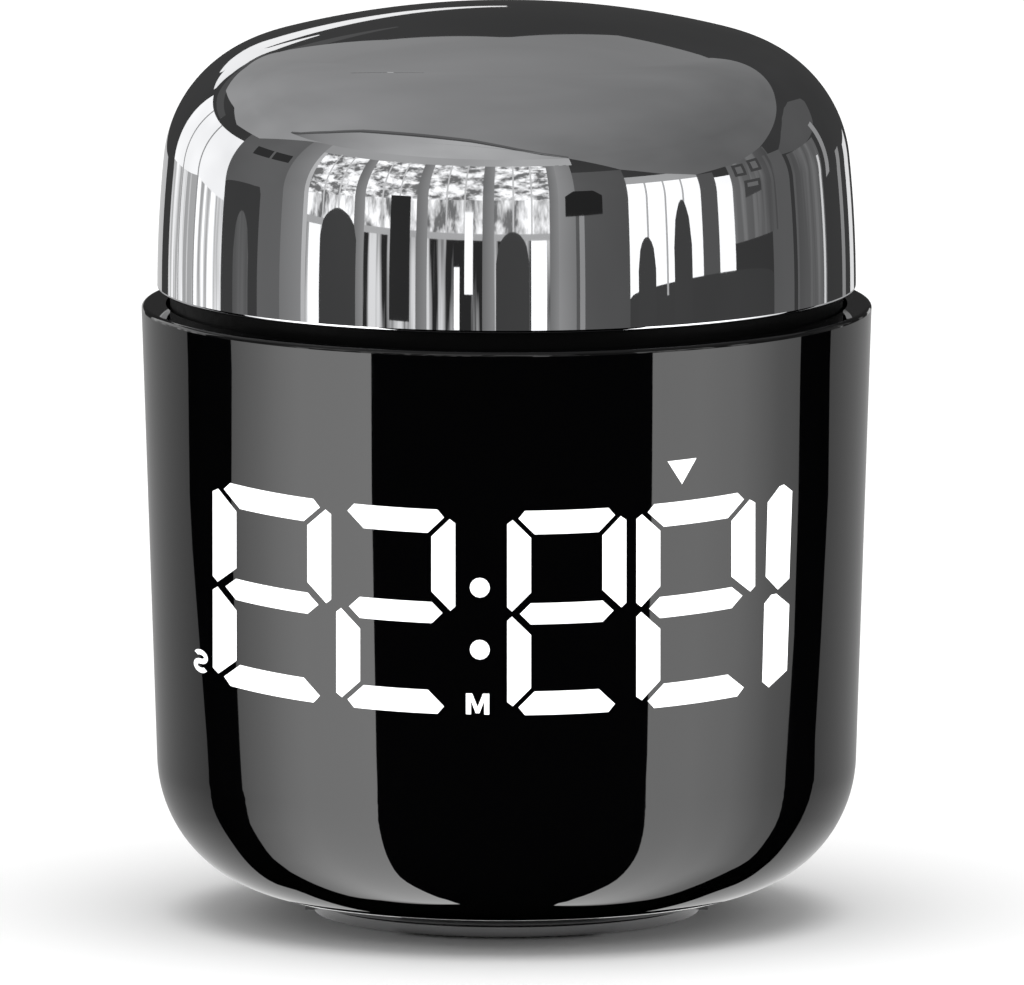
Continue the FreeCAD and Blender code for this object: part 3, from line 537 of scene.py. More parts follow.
lamp_resin = Finish("Lamp resin", (0.9, 0.86, 0.6), IOR=1.53)
lamp_resin.mottled(0.6, 2, (0.88, 0.78, 0.35), (0.95, 0.95, 0.88))
lamp_resin.roughened(0.12, 0.2, 0.5)
dress(lamp_resin, "display_leds")


def lacquered_board(name, turn):
    """Green lacquer with tracks showing through it, and bare flecks of solder between them."""
    finish = Finish(name, (0.02, 0.16, 0.07), IOR=1.55)
    across = finish.node("Mapping", {}, {"Vector": finish.place(), "Rotation": turn})
    tracks = finish.node("TexBrick", {"offset": 0.37}, {
        "Vector": across, "Scale": 1.0, "Brick Width": 5 * track_pitch * mm, "Row Height": track_pitch * mm,
        "Mortar Size": track_width * mm, "Mortar Smooth": 0.3}, "Fac")
    spots = finish.node("TexVoronoi", {}, {"Vector": across, "Scale": 1 / (2.6 * mm)}, "Distance")
    pads = finish.node("ValToRGB", {"stops": ((0.10, (1, 1, 1, 1)), (0.13, (0, 0, 0, 1)))}, {"Fac": spots})
    lacquer = finish.mixed(finish.noise(7, 3), (0.012, 0.12, 0.05, 1), (0.022, 0.19, 0.085, 1))
    tracked = finish.mixed(tracks, lacquer, (0.05, 0.3, 0.13, 1))
    finish.put("Base Color", finish.mixed(pads, tracked, (0.7, 0.7, 0.68, 1)))
    finish.put("Metallic", pads * 1.0)
    finish.roughened(0.25, 0.15, 1.2)
    finish.bump(tracks + pads, 0.03)
    return finish


upright_board = lacquered_board("Upright board lacquer", (math.pi / 2, 0, 0))
dress(upright_board, "display_board")

epoxy = Finish("Moulded epoxy", (0.028, 0.028, 0.029))
epoxy.mottled(0.4, 4, (0.02, 0.02, 0.021), (0.045, 0.045, 0.046))
epoxy.roughened(0.55, 0.2, 0.6)
epoxy.bump(epoxy.noise(0.12, 3), 0.006)
dress(epoxy, "driver_chip")

ribbon = Finish("Flat flexible cable", (0.75, 0.73, 0.66), IOR=1.5)
strands = ribbon.node("TexWave", {"bands_direction": "X"},
                      {"Vector": ribbon.place(), "Scale": 1 / (6.28 * mm)}, "Fac")
ribbon.put("Base Color", ribbon.mixed(strands, (0.78, 0.76, 0.70, 1), (0.5, 0.4, 0.26, 1)))
ribbon.roughened(0.3, 0.15, 3)
ribbon.bump(strands, 0.03)
dress(ribbon, "board_ribbon")


# Battery chassis. The frame inside the shell is one dark grey moulding: three tubes for the cells,
# a foot flange with ears for the screws, the wall that carries the display, and a top plate.
chassis_grey = Finish("Dark grey moulding", (0.18, 0.18, 0.19))
chassis_grey.mottled(15, 3, (0.16, 0.16, 0.17), (0.2, 0.2, 0.21))
chassis_grey.roughened(0.42, 0.18, 2)
chassis_grey.bump(chassis_grey.noise(0.3, 3), 0.012)
dress(chassis_grey, "battery_chassis")


# Cells. Three size AAA cells stand in the tubes, each a drawn steel can in a printed sleeve that
# leaves both its ends bare.
sleeve_low = 6.0
sleeve_high = 48.2
band_height = 39.5

cell_sleeve = Finish("Sleeved steel can", (0.1, 0.16, 0.28), IOR=1.5)
cell_height = cell_sleeve.node("SeparateXYZ", {}, {"Vector": cell_sleeve.place()}, "Z")
above_foot = cell_sleeve.node("Math", {"operation": "GREATER_THAN"}, {0: cell_height, 1: sleeve_low * mm})
below_top = cell_sleeve.node("Math", {"operation": "LESS_THAN"}, {0: cell_height, 1: sleeve_high * mm})
banded = cell_sleeve.node("Math", {"operation": "GREATER_THAN"}, {0: cell_height, 1: band_height * mm})
sleeved = above_foot * below_top
printed = cell_sleeve.mixed(banded, (0.06, 0.11, 0.22, 1), (0.55, 0.57, 0.6, 1))
worn = cell_sleeve.mixed(cell_sleeve.noise(4, 5) ** 4, printed, (0.5, 0.5, 0.5, 1))
cell_sleeve.put("Base Color", cell_sleeve.mixed(sleeved, (0.62, 0.61, 0.58, 1), worn))
cell_sleeve.put("Metallic", 1 - sleeved)
cell_sleeve.roughened(0.22, 0.15, 1.5, 3)
dress(cell_sleeve, "left_cell", "right_cell", "rear_cell")


# Battery contacts. Springs, strips and the return rod are nickel-plated steel, pressed or wound,
# with a fine drawn grain. The strips on the cover close the circuit as it is twisted home.
nickel = Finish("Nickel-plated contact", (0.66, 0.63, 0.57), Metallic=1.0)
drawn = nickel.node("Mapping", {}, {"Vector": nickel.place(), "Scale": (0.1, 1, 1)})
grain = nickel.node("TexNoise", {}, {"Vector": drawn, "Scale": 1 / (0.25 * mm), "Detail": 3.0}, "Fac")
nickel.mottled(3, 3, (0.58, 0.55, 0.49), (0.7, 0.68, 0.63))
nickel.put("Roughness", 0.18 + grain * 0.2)
nickel.bump(grain, 0.004)
dress(nickel, "upper_output_contact", "upper_bridge_contact", "right_cell_spring", "return_rod",
      "lower_bridge_contact", "lower_return_contact", "left_cell_spring", "rear_cell_spring")


# Screws. Small pan-head screws of zinc-plated steel, in four sets: three through the foot flange
# into the shell, four for the display, three for the deck and three for the knob's carrier.
zinc = Finish("Zinc-plated screw", (0.6, 0.6, 0.62), Metallic=1.0)
zinc.mottled(1.2, 4, (0.5, 0.5, 0.54), (0.68, 0.67, 0.64))
zinc.roughened(0.28, 0.2, 0.4, 3)
zinc.bump(zinc.noise(0.15, 2), 0.004)
dress(zinc, "display_screws", "foot_screws", "deck_screws", "knob_screws")


# Control board. A round board under the deck holds the controller, a buzzer in a black case, a
# sleeved capacitor, a timing crystal in a steel can, and a row of small resistors.
level_board = lacquered_board("Level board lacquer", (0, 0, 0))
dress(level_board, "control_board")

dress(epoxy, "control_chip", "board_resistors")

buzzer_black = Finish("Buzzer case", (0.02, 0.02, 0.02))
buzzer_black.roughened(0.3, 0.2, 1.5)
buzzer_black.bump(buzzer_black.noise(0.2, 3), 0.008)
dress(buzzer_black, "buzzer")

can_sleeve = Finish("Sleeved capacitor can", (0.05, 0.07, 0.13), IOR=1.5)
can_height = can_sleeve.node("SeparateXYZ", {}, {"Vector": can_sleeve.place()}, "Z")
bare_top = can_sleeve.node("Math", {"operation": "GREATER_THAN"}, {0: can_height, 1: 58.9 * mm})
can_sleeve.put("Base Color", can_sleeve.mixed(bare_top, (0.05, 0.07, 0.13, 1), (0.75, 0.75, 0.76, 1)))
can_sleeve.put("Metallic", bare_top * 1.0)
can_sleeve.roughened(0.25, 0.15, 0.8)
dress(can_sleeve, "smoothing_capacitor")

drawn_can = Finish("Drawn steel can", (0.66, 0.66, 0.66), Metallic=1.0)
drawn_can.roughened(0.16, 0.16, 0.7, 3)
drawn_can.bump(drawn_can.noise(0.3, 2), 0.003)
dress(drawn_can, "timing_crystal")


# Rotary encoder. Its black base is soldered to the control board by its pins. A die-cast bushing
# with a washer and nut holds it to the deck, and the flanged steel shaft turns in it and, pressed,
# snaps the thin steel dome of the switch through a white plunger.
encoder_black = Finish("Encoder base", (0.022, 0.022, 0.023))
encoder_black.roughened(0.4, 0.15, 1)
encoder_black.bump(encoder_black.noise(0.25, 3), 0.008)
dress(encoder_black, "encoder_base")
dress(nickel, "encoder_pins", "switch_dome")
dress(well_white, "switch_plunger")

die_cast = Finish("Die-cast bushing", (0.5, 0.5, 0.5), Metallic=1.0)
die_cast.mottled(1, 4, (0.42, 0.42, 0.43), (0.56, 0.56, 0.55))
die_cast.roughened(0.38, 0.2, 0.5, 3)
die_cast.bump(die_cast.noise(0.2, 3), 0.01)
dress(die_cast, "encoder_bushing")
dress(zinc, "encoder_washer", "encoder_nut")

turned_steel = Finish("Turned shaft steel", (0.62, 0.62, 0.63), Metallic=1.0)
lines = turned_steel.node("Mapping", {}, {"Vector": turned_steel.place(), "Scale": (0.04, 0.04, 1)})
cut = turned_steel.node("TexNoise", {}, {"Vector": lines, "Scale": 1 / (0.12 * mm), "Detail": 2.0}, "Fac")
turned_steel.put("Roughness", 0.16 + cut * 0.16)
turned_steel.bump(cut, 0.003)
dress(turned_steel, "encoder_shaft")


# Knob cap. The real one is a moulded dome with a mirror-bright chrome plating, a shade darker
# than polished steel. A thin skirt at its foot runs down over the black neck of the deck, and
# three bosses inside take the screws of the knob's carrier.
cap_base = 57.05
cap_top = 82.55
cap_radius = 31.564
cap_wall = 1.3
skirt_wall = 0.85
skirt_top = 63.55
skirt_round = 0.3
side_curve = 120.0
shoulder_radius = 12.1
crown_radius = 83.0
cap_steps = 360
cap_boss_radius = 3.0
cap_boss_root = 80.35
cap_boss_mouth = 73.95
cap_bore_floor = 78.15
knob_screw_circle = 15.5
side_centre = Vector((cap_radius - side_curve, cap_base))
crown_centre = Vector((0.0, cap_top - crown_radius))

chrome = Finish("Chrome plating", (0.74, 0.745, 0.76), Metallic=1.0)
chrome.put("Roughness", 0.015 + chrome.noise(16, 3) ** 3 * 0.05)
chrome.bump(chrome.noise(9, 1), 0.0006)


def shoulder_place():
    """Centre of the shoulder arc, which touches both the side curve and the crown."""
    side = side_curve - shoulder_radius
    crown = crown_radius - shoulder_radius
    between = crown_centre - side_centre
    along = (side ** 2 - crown ** 2 + between.length ** 2) / (2 * between.length)
    across = math.sqrt(side ** 2 - along ** 2)
    direction = between.normalized()
    sideways = Vector((-direction.y, direction.x))
    crossings = [side_centre + direction * along + sideways * (sign * across) for sign in (1, -1)]
    return max(crossings, key=lambda point: point.x)


def cap_outline(inset, low, shoulder_count, crown_count):
    """The dome's line from its foot to its crown, moved inwards by inset."""
    shoulder = shoulder_place()
    up = math.degrees(math.atan2(shoulder.y - side_centre.y, shoulder.x - side_centre.x))
    over = math.degrees(math.atan2(shoulder.y - crown_centre.y, shoulder.x - crown_centre.x))
    start = math.degrees(math.asin((low - cap_base) / (side_curve - inset)))
    points = arc_points(side_centre, side_curve - inset, start, up, 8)
    points += arc_points(shoulder, shoulder_radius - inset, up, over, shoulder_count)[1:]
    return points + arc_points(crown_centre, crown_radius - inset, over, 90, crown_count)[1:]


dome = cap_outline(0, cap_base + skirt_round, 40, 24)
foot_edge = arc_points((cap_radius - skirt_round, cap_base + skirt_round), skirt_round, -90, 0, 5)
skirt_inner = cap_radius - skirt_wall
cap_line = [(skirt_inner, skirt_top), (skirt_inner, cap_base)] + foot_edge[:-1] + dome
cap_line = cap_outline(cap_wall, skirt_top, 16, 10)[::-1] + cap_line
cap = lathe("chrome_cap", cap_line, chrome, cap_steps, closed=False)
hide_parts("knob_cap")
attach(cap, "knob")
cap_bosses = bosses("cap_bosses", chrome, knob_screw_circle, cap_boss_radius, cap_boss_root, cap_boss_mouth,
                    cap_bore_floor)
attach(cap_bosses, "knob")


# Top deck. The real one is a matt black moulded cup, screwed down over the control board. All
# that shows of it is the neck in the gap below the dome. Its face has a fine spark-eroded grain.
# Its colour is set far darker than black plastic and its shine turned down, as painted shade for the deep gap under
# the dome.
dark_neck_and_gap_shade = Finish("Black moulding with painted gap shade", (0.0015, 0.0015, 0.0016), Specular_IOR_Level=0.1)
dark_neck_and_gap_shade.roughened(0.45, 0.2, 0.8)
dark_neck_and_gap_shade.bump(dark_neck_and_gap_shade.noise(0.25, 3), 0.01)
dress(dark_neck_and_gap_shade, "top_deck")


# Knob carrier. A ribbed black plate and hub, pressed onto the flat of the encoder's shaft. Three
# screws through it pull the dome's bosses down on it.
carrier_black = Finish("Ribbed carrier moulding", (0.03, 0.03, 0.031))
carrier_black.roughened(0.45, 0.15, 1.5)
carrier_black.bump(carrier_black.noise(0.3, 3), 0.01)
dress(carrier_black, "knob_carrier")


# Base disc. The real one is the twist-off battery cover, moulded in satin black plastic, with two
# small tabs at its edge, a coin slot across its middle and a soft black ring to stand on.
cover_black = Finish("Satin black cover", (0.06, 0.06, 0.062), IOR=1.55)
cover_black.roughened(0.24, 0.12, 3)
cover_black.bump(cover_black.noise(0.3, 3), 0.006)
dress(cover_black, "battery_cover")

rubber = Finish("Foot rubber", (0.018, 0.018, 0.018), IOR=1.5)
rubber.roughened(0.75, 0.15, 1.5)
rubber.bump(rubber.noise(0.2, 3), 0.02)
dress(rubber, "foot_ring")


# Camera. The photograph looks slightly down on the timer from far off, with the front square on.
picture_width = 1024
picture_height = 985
pixels_per_mm = 11.06
axis_column = 506.6
floor_row = 912.0
camera_elevation = math.radians(8.0)
camera_distance = 4.0

camera = added("camera", bpy.data.cameras.new("camera"))
aim_up = (floor_row - picture_height / 2) / pixels_per_mm / math.cos(camera_elevation)
aim = Vector(((picture_width / 2 - axis_column) / pixels_per_mm, 0, aim_up)) * mm
camera.location = aim + camera_distance * Vector((0, -math.cos(camera_elevation), math.sin(camera_elevation)))
camera.rotation_euler = (math.pi / 2 - camera_elevation, 0, 0)
camera.data.sensor_width = 36.0
camera.data.lens = 36.0 * camera_distance / (picture_width / pixels_per_mm * mm)
camera.data.clip_end = 50.0
bpy.context.scene.camera = camera


# Studio. The timer stands on a plain white floor, under one large soft lamp.
floor_half = 12.0
floor_mesh = bpy.data.meshes.new("floor")
corners = [(-floor_half, -floor_half, 0), (floor_half, -floor_half, 0),
           (floor_half, floor_half, 0), (-floor_half, floor_half, 0)]
floor_mesh.from_pydata(corners, [], [(0, 1, 2, 3)])
floor = added("floor", floor_mesh)
floor_white = Finish("Floor white", (0.85, 0.85, 0.85), Roughness=0.9, Specular_IOR_Level=0.0)
seen = floor_white.node("LightPath", {}, {}, "Is Camera Ray")
floor_white.put("Base Color", floor_white.mixed(seen, (0.85, 0.85, 0.85, 1), (1, 1, 1, 1)))
floor_mesh.materials.append(floor_white.material)

lamp_size = 2.7
lamp_power = 46.0
lamp_place = (0, -0.3, 3.0)
lamp = added("soft_lamp", bpy.data.lights.new("soft_lamp", "AREA"))
lamp.data.shape = "DISK"
lamp.data.size = lamp_size
lamp.data.energy = lamp_power
lamp.location = lamp_place
lamp.visible_glossy = False


# Light room. Round the timer stand glowing cards which only its polish can see, a painted
# reflection in place of the cards that a studio photographer would put there: tall soft strips and
# black flags low down for the glossy body, and above them a painted reflection of a bright room
# with a bay of windows and a grey ceiling for the chrome dome.
room_radius = 120.0
room_height = 145.0
split_height = 42.0
strip_step = 2.5
brightest = 4.0
flag_step = 0.04
edge_light = ((0, 0.85), (26, 0.85), (45, 0.5), (80, 0.42), (120, 0.42))
left_outer = (
    (162, -108.2), (155, -108.3), (143, -109.9), (138, -109.3), (130, -107), (120, -104.2), (105.3, -102),
    (86.1, -98.6), (65.3, -93.7), (54, -89.6), (47.2, -85.7), (42.3, -82), (38.7, -78.7), (35.9, -75.9),
    (33.4, -73.5), (31.4, -71.5), (29.7, -69.6), (28.2, -67.6), (27, -65.6), (26.1, -62.9), (25.2, -56.4),
    (24.5, -53.9), (22.9, -49.7), (21.4, -45.7), (20, -41.5), (18.8, -36.8), (17.9, -35), (15, -34))
left_inner = (
    (162, -86), (155, -86), (143, -87.8), (130, -88), (120, -87.3), (105.2, -85.4), (87.9, -82.2),
    (64.7, -77), (52.8, -73), (45.4, -69.7), (40.9, -66.5), (37.5, -63.7), (34.7, -61.2), (32.6, -58.9),
    (31.1, -56.3), (29.7, -53.9), (28.7, -51.3), (27.8, -48.8), (27, -46.3), (26.3, -43.9), (25.7, -41.4),
    (25.2, -38.8), (24.9, -36.1), (24.7, -30.5), (24.6, -10.8))
left_centre = (
    (162, -37.5), (145, -38.1), (120, -37.9), (97.4, -36.5), (74.4, -34.6), (58.6, -32.7), (49.9, -31),
    (44.2, -29.6), (40.1, -28.4), (36.9, -27.3), (34.4, -26.2), (32.3, -25.1), (30.6, -23.8), (29.4, -22.3),
    (28.4, -20.6), (27.6, -19), (26.8, -17.2), (26.1, -15.5), (25.6, -13.6), (24.9, -11.8), (24.6, -10.8))
right_centre = (
    (162, 40.7), (145, 41.3), (120, 41.1), (98.9, 39.6), (81.9, 38.3), (62.3, 35.9), (51.8, 34.1),
    (45.4, 32.6), (41, 31.3), (37.5, 30.1), (34.9, 28.8), (32.9, 27.5), (31.2, 26.1), (29.9, 24.7),
    (28.8, 23), (28, 21.3), (27.2, 19.5), (26.5, 17.7), (25.9, 15.8), (25.2, 14), (24.8, 12), (24.2, 11.1))
right_inner = (
    (162, 94.6), (155, 94.7), (143, 95.7), (130, 95.7), (120, 93.9), (108.2, 92.3), (97.8, 90.6),
    (74.3, 86.3), (58, 81.5), (49, 77.6), (43.3, 74.1), (39.3, 70.8), (36.3, 67.9), (33.8, 65.2), (32, 62.5),
    (30.8, 59.6), (29.9, 56.5), (29, 53.6), (28.2, 50.9), (27.4, 48.3), (26.7, 45.7), (26, 43.2),
    (25.4, 40.8), (24.9, 38.1), (24.5, 35), (24.3, 32), (24.2, 11.1))
right_outer = (
    (162, 111.2), (155, 111.3), (143, 113), (130, 111.4), (120, 109.6), (103.9, 107.9), (78.5, 102.4),
    (62, 97.2), (52.6, 92.5), (46.1, 88.4), (41.5, 84.6), (38.1, 81.3), (35.3, 78.3), (33, 75.7),
    (31.1, 73.2), (29.6, 70.6), (28.2, 68.2), (27.1, 65.8), (26.2, 63.1), (25.5, 59.9), (24.9, 57.1),
    (24.2, 54.5), (22.6, 50.1), (21.2, 45.7), (19.7, 41.6), (18.8, 36.2), (18.1, 30.2), (15, 29))
cornice = ((-84, 119), (-80, 114), (-69, 96), (-57, 82), (-45, 77.5), (-33, 76), (-23, 77), (-13, 80), (-4, 87),
           (4, 96), (12, 107), (21, 120))
ceiling_edge = ((-180, 145), (-170, 135), (-163, 118), (-150, 125), (-135, 123), (-120, 130), (-108, 122),
                (-92, 122), (-75, 140), (-66, 145), (21, 143), (36, 115), (48, 103), (60, 95), (77, 100),
                (91, 110), (102, 120), (125, 135), (140, 138), (160, 135), (171, 131), (180, 145))
card_step = 0.4
side_light = 0.42
window_light = 1.4
window_sill = 66.5
window_head = 130.0
bay_count = 4
bay_start = -61.5
bay_step = 19.3
bay_width = 16.0
glazing_bars = (5.3, 10.6)
left_strip = ((0, 1.1), (0.23, 1.8), (0.38, 2.4), (0.53, 2.85), (0.67, 2.95), (1, 3.15))
right_strip = ((0, 2.65), (0.28, 2.6), (0.54, 2.15), (0.83, 1.15), (1, 0.85))
foot_bands = ((19.7, 1.3, 2.0), (19.75, 0.0, 0.0))
foot_band_low = 0.15
foot_band_high = 1.3
room_points = []
room_faces = []
room_lights = []


def add_card(grid):
    """Adds a grid of (point, lights) rows to the room."""
    start = len(room_points)
    across = len(grid[0])
    for row in grid:
        for point, lights in row:
            room_points.append(Vector(point) * mm)
            room_lights.append(lights)
    for i in range(len(grid) - 1):
        for j in range(across - 1):
            corner = start + i * across + j
            room_faces.append((corner, corner + 1, corner + across + 1, corner + across))


def wall_card(left, right, low, high, light, right_light=None, layer=1, leaves=0.0, streaks=0.0, crown=0.0):
    """Upright card on the room's wall, between two azimuths and two heights, with a raised middle."""
    steps = max(1, math.ceil((right - left) / strip_step)) * (3 if crown else 1)
    rows = [[], []]
    for i in range(steps + 1):
        share = i / steps
        turn = math.radians(left + (right - left) * share)
        radius = room_radius - layer * card_step
        level = light + ((light if right_light is None else right_light) - light) * share
        top = high + crown * math.sqrt(max(0.0, 1 - (2 * share - 1) ** 2))
        for row, height in zip(rows, (low, top)):
            place = (radius * math.sin(turn), -radius * math.cos(turn), height)
            row.append((place, (level, leaves, streaks, 1)))
    add_card(rows)


def follow(line, place):
    """Reads a line of (place, value) points, with straight runs between them."""
    for (start, low), (end, high) in zip(line, line[1:]):
        if min(start, end) <= place <= max(start, end):
            return low + (high - low) * (place - start) / (end - start)
    return line[0][1] if abs(place - line[0][0]) < abs(place - line[-1][0]) else line[-1][1]


def round_place(radius, turn, height):
    angle = math.radians(turn)
    return (radius * math.sin(angle), -radius * math.cos(angle), height)


def body_card(left_edge, right_edge, layer, across):
    """Strip or flag for the body, between two edges of (reach, azimuth). Past the wall, it climbs it."""
    reaches = sorted({reach for reach, turn in left_edge + right_edge}, reverse=True)
    columns = math.ceil((right_edge[0][1] - left_edge[0][1]) / strip_step)
    shares = [i / columns for i in range(columns + 1)]
    rows = []
    for reach in reaches:
        left = follow(left_edge, reach)
        right = follow(right_edge, reach)
        radius = min(reach, room_radius - layer * card_step)
        height = max(reach - room_radius, layer * flag_step)
        rows.append([(round_place(radius, left + (right - left) * share, height),
                      (follow(across, share), 0, 0, 1)) for share in shares])
    add_card(rows)


def level_disc(height, radii, light_at):
    """Level disc of light whose brightness follows the place across and the radius."""
    grid = []
    for radius in radii:
        places = [round_place(radius, 5 * i, height) for i in range(73)]
        grid.append([(place, (light_at(place[0], radius), 0, 0, 1)) for place in places])
    add_card(grid)


def lens_card(edges, light, layer):
    """Card on the room's wall whose lower and upper edges are curves, as (azimuth, low, high)."""
    radius = room_radius - layer * card_step
    turns = [edges[0][0] + (edges[-1][0] - edges[0][0]) * i / 20 for i in range(21)]
    rows = []
    for side in (1, 2):
        line = [(edge[0], edge[side]) for edge in edges]
        rows.append([(round_place(radius, turn, follow(line, turn)), (light, 0, 0, 1)) for turn in turns])
    add_card(rows)


def ceiling_light(x, radius):
    return 0.27 - 0.12 * x / room_radius


def ceiling_edge_card():
    """The ceiling's grey, brought down the walls to the uneven edge of the room."""
    rows = [[], []]
    for turn, edge in ceiling_edge:
        angle = math.radians(turn)
        x = (room_radius - 3 * card_step) * math.sin(angle)
        y = -(room_radius - 3 * card_step) * math.cos(angle)
        for row, height in zip(rows, (edge, room_height)):
            row.append(((x, y, height), (ceiling_light(x, room_radius), 0, 0, 1)))
    add_card(rows)


def soffit_card(start, end, lights, layer):
    """Strip on the ceiling that follows the cornice, between two distances beyond it."""
    rows = [[], []]
    for turn, radius in cornice:
        light = follow(lights, turn)
        for row, reach in zip(rows, (start, end)):
            place = round_place(min(room_radius, radius + reach), turn, room_height - layer * card_step)
            row.append((place, (light, 0, 0, 1)))
    add_card(rows)


# Low down: what the glossy body sees.
level_disc(flag_step, (0.01, 18, 26, 45, 80, room_radius + 2), lambda x, radius: follow(edge_light, radius))
wall_card(-180, 180, 0, split_height, side_light, layer=-1)
body_card(left_outer, right_outer, 2, ((0, 0.0), (1, 0.0)))
body_card(left_inner, left_centre, 3, left_strip)
body_card(right_centre, right_inner, 3, right_strip)
for radius, low_light, high_light in foot_bands:
    add_card([[(round_place(radius, 3 * i - 90, height), (light, 0, 0, 1)) for i in range(61)]
              for height, light in ((foot_band_low, low_light), (foot_band_high, high_light))])

# Higher up: the room that the dome sees, from the left round by the front to the right.
wall_card(-180, 180, split_height, room_height, 0.05, layer=0)
ceiling_edge_card()
level_disc(room_height, (0.01, 30, 60, 90, room_radius), ceiling_light)
for left, right, near, far, light, layer in ((-34, -16, 52.7, 53.6, 0.07, 1), (-24, -22.5, 52.2, 54.2, 0.6, 2)):
    add_card([[((x, y, room_height - layer * card_step), (light, 0, 0, 1)) for x in (left, right)]
              for y in (near, far)])
soffit_card(-4.5, 60, ((-84, 0.15), (21, 0.13)), 0.8)
soffit_card(-1.4, 60, ((-84, 0.09), (21, 0.08)), 1.4)
soffit_card(0.8, 60, ((-84, 0.2), (-60, 0.36), (-20, 0.55), (21, 0.4)), 2)
lens_card(((-180, 95, 97), (-174, 94, 100), (-168, 94.5, 104), (-162, 97, 108), (-156, 100, 109),
           (-150, 104, 107)), 1.0, 2)
lens_card(((-167, 109, 110), (-160, 107, 117), (-153, 107, 121), (-147, 108, 119), (-140, 110, 112)), 1.0, 2)
lens_card(((-172, 119, 120), (-160, 118, 129), (-148, 122, 129), (-135, 116, 124), (-118, 114, 120)), 0.09, 2)
wall_card(-180, -146, split_height, 60, 0.6)
wall_card(-136, -97, 64, 112, 1.2)
wall_card(-136, -97, split_height, 64, 1.1, streaks=0.6)
for edge in (-126, -114):
    wall_card(edge, edge + 0.8, split_height, 112, 0.35, layer=3)
wall_card(-97, -79, split_height, 142, 0.13, 0.15)
for left, right in ((-89, -81), (-80, -72.5)):
    wall_card(left, right, 103, 113, 0.035, layer=5)
wall_card(-97, -80, split_height, 68, 0.055, layer=2, crown=3)
wall_card(-91, -84, split_height, 56, 0.14, layer=3, crown=8, streaks=0.2)
wall_card(-79, -71, split_height, room_height, 0.15)
wall_card(-71, -63, split_height, room_height, 0.22, 0.3)
wall_card(-63, bay_start, split_height, window_head, 0.6)
for bay in range(bay_count):
    left = bay_start + bay_step * bay
    right = left + bay_width
    wall_card(left, right, window_sill, window_head, window_light, leaves=1.0)
    wall_card(left, right, split_height, window_sill, 0.55, streaks=1.0)
    wall_card(right, left + bay_step, split_height, window_head, 0.2, 0.32)
    wall_card(left, right, window_sill - 0.5, window_sill + 1, 0.5, layer=3)
    for bar in glazing_bars:
        wall_card(left + bar, left + bar + 0.5, window_sill + 0.5, window_head, 0.7, layer=3)
wall_card(-63, 21, 129, room_height, 0.4, 0.5, layer=2)
for left, right, low, high, light in (
        (-60.5, -56.5, 42, 66, window_light), (-34, -28, 48, 78, 0.03), (-15, -13.4, 46, 60, window_light),
        (-12, -9.6, 54, 72, window_light), (7, 11.5, 42, 66, window_light), (21, 22.5, 42, 74, 0.35)):
    wall_card(left, right, low, high, light, layer=4)
for left, right, low, crown in ((-56.5, -44.5, 64, 6), (-3, 6.5, 61, 7), (50, 56, 62, 9), (38.5, 44, 58, 7)):
    wall_card(left, right, split_height, low, 0.062, layer=5, crown=crown)
wall_card(15, 20, split_height, window_head, 0.33, 0.25, layer=2)
wall_card(20, 36, split_height, 115, 0.12, 0.1)
lens_card(((17, 71, 79), (19.5, 71, 86), (25.5, 71, 86), (28, 71, 79)), 0.02, 5)
wall_card(36, 60, 52, 92, window_light)
wall_card(36, 60, 92, 102, 0.45)
for edge in (41.5, 47.5, 53.5):
    wall_card(edge, edge + 0.6, 52, 92, 0.5, layer=3)
wall_card(60, 66, split_height, 95, 0.11)
wall_card(66, 72, 53, 88, window_light)
wall_card(72, 92, 60, 110, 0.25, 0.12, streaks=0.3)
for left, right, low, high in ((74, 79, 84, 98), (81, 86, 86, 100), (77, 84, 68, 78)):
    wall_card(left, right, low, high, 0.07, layer=3)
    wall_card(left + 1.2, right - 1.2, low + 3, high - 3, 0.18, layer=4)
wall_card(36, 88, split_height, 52, 0.06, layer=2, crown=3)
wall_card(88, 98, split_height, 100, 0.13)
wall_card(100, 119, split_height, 92, 0.13, 0.2, streaks=0.25)
lens_card(((98, 94, 100), (106, 92, 114), (114, 92, 123), (121, 94, 126), (127, 98, 124), (134, 108, 112)), 0.11, 1)
wall_card(116.5, 118, split_height, 78, 0.8, layer=3)
wall_card(122, 125, 62, 100, 0.35, layer=3)
wall_card(133, 137, split_height, 70, 0.3)
wall_card(144, 152, split_height, 66, 0.9)

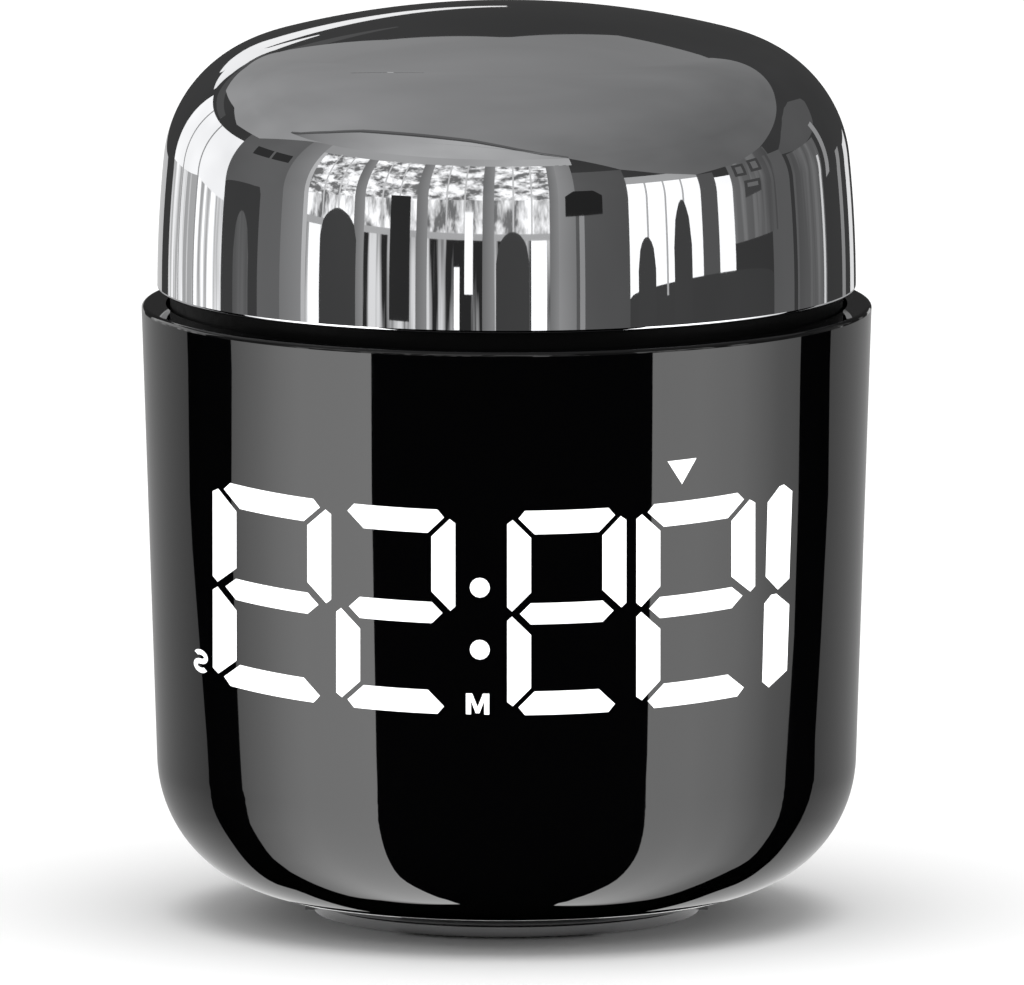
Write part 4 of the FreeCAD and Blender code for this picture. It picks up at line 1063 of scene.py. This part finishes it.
room_mesh = bpy.data.meshes.new("light_room")
room_mesh.from_pydata(room_points, [], room_faces)
room_tint = room_mesh.attributes.new("lights", "FLOAT_COLOR", "POINT")
for item, lights in zip(room_tint.data, room_lights):
    item.color = lights
room = added("light_room", room_mesh)
room.visible_camera = False
room.visible_diffuse = False
room.visible_shadow = False
room.visible_transmission = False
room_light = Finish("Room light", (0, 0, 0), Roughness=1.0, Specular_IOR_Level=0.0)
lights = room_light.node("Attribute", {"attribute_name": "lights"}, {}, "Color")
level = room_light.node("SeparateColor", {}, {"Color": lights}, "Red")
leaves = room_light.node("SeparateColor", {}, {"Color": lights}, "Green")
streaks = room_light.node("SeparateColor", {}, {"Color": lights}, "Blue")
leaf = room_light.node("TexNoise", {}, {"Vector": room_light.place(), "Scale": 110.0, "Detail": 6.0,
                                        "Roughness": 0.62}, "Fac")
leaf_mask = room_light.node("ValToRGB", {"stops": ((0.42, (0, 0, 0, 1)), (0.58, (1, 1, 1, 1)))}, {"Fac": leaf})
tall = room_light.node("Mapping", {}, {"Vector": room_light.place(), "Scale": (1, 1, 0.08)})
streak = room_light.node("TexNoise", {}, {"Vector": tall, "Scale": 160.0, "Detail": 3.0}, "Fac")
streak_mask = room_light.node("ValToRGB", {"stops": ((0.45, (0.05, 0.05, 0.05, 1)), (0.62, (1.6, 1.6, 1.6, 1)))},
                              {"Fac": streak})
height = room_light.node("SeparateXYZ", {}, {"Vector": room_light.place()}, "Z")
in_room = room_light.node("Math", {"operation": "GREATER_THAN"}, {0: height, 1: split_height * mm})
uneven = room_light.noise(45, 2, 0.4)
shaded = level * (1 - leaves * (1 - leaf_mask) * 0.85) * (1 - streaks * (1 - streak_mask))
shaded = shaded * (1 + in_room * (uneven - 0.5) * 0.35)
room_light.put("Emission Color", room_light.mixed(shaded / brightest, (0, 0, 0, 1), (1, 1, 1, 1)))
room_light.put("Emission Strength", brightest)
room_mesh.materials.append(room_light.material)

sky_light = 0.75
world = bpy.data.worlds.new("studio")
bpy.context.scene.world = world
world.use_nodes = True
sky = world.node_tree.nodes["Background"]
sky.inputs["Color"].default_value = (1, 1, 1, 1)
path = world.node_tree.nodes.new("ShaderNodeLightPath")
shown = Amount(world.node_tree, path.outputs["Is Camera Ray"])
for ray in ("Is Glossy Ray", "Is Transmission Ray"):
    shown = shown.worked("MAXIMUM", shown, Amount(world.node_tree, path.outputs[ray]))
plug_in(world.node_tree, sky.inputs["Strength"], shown * (1 - sky_light) + sky_light)

scene = bpy.context.scene
scene.view_settings.view_transform = "Standard"
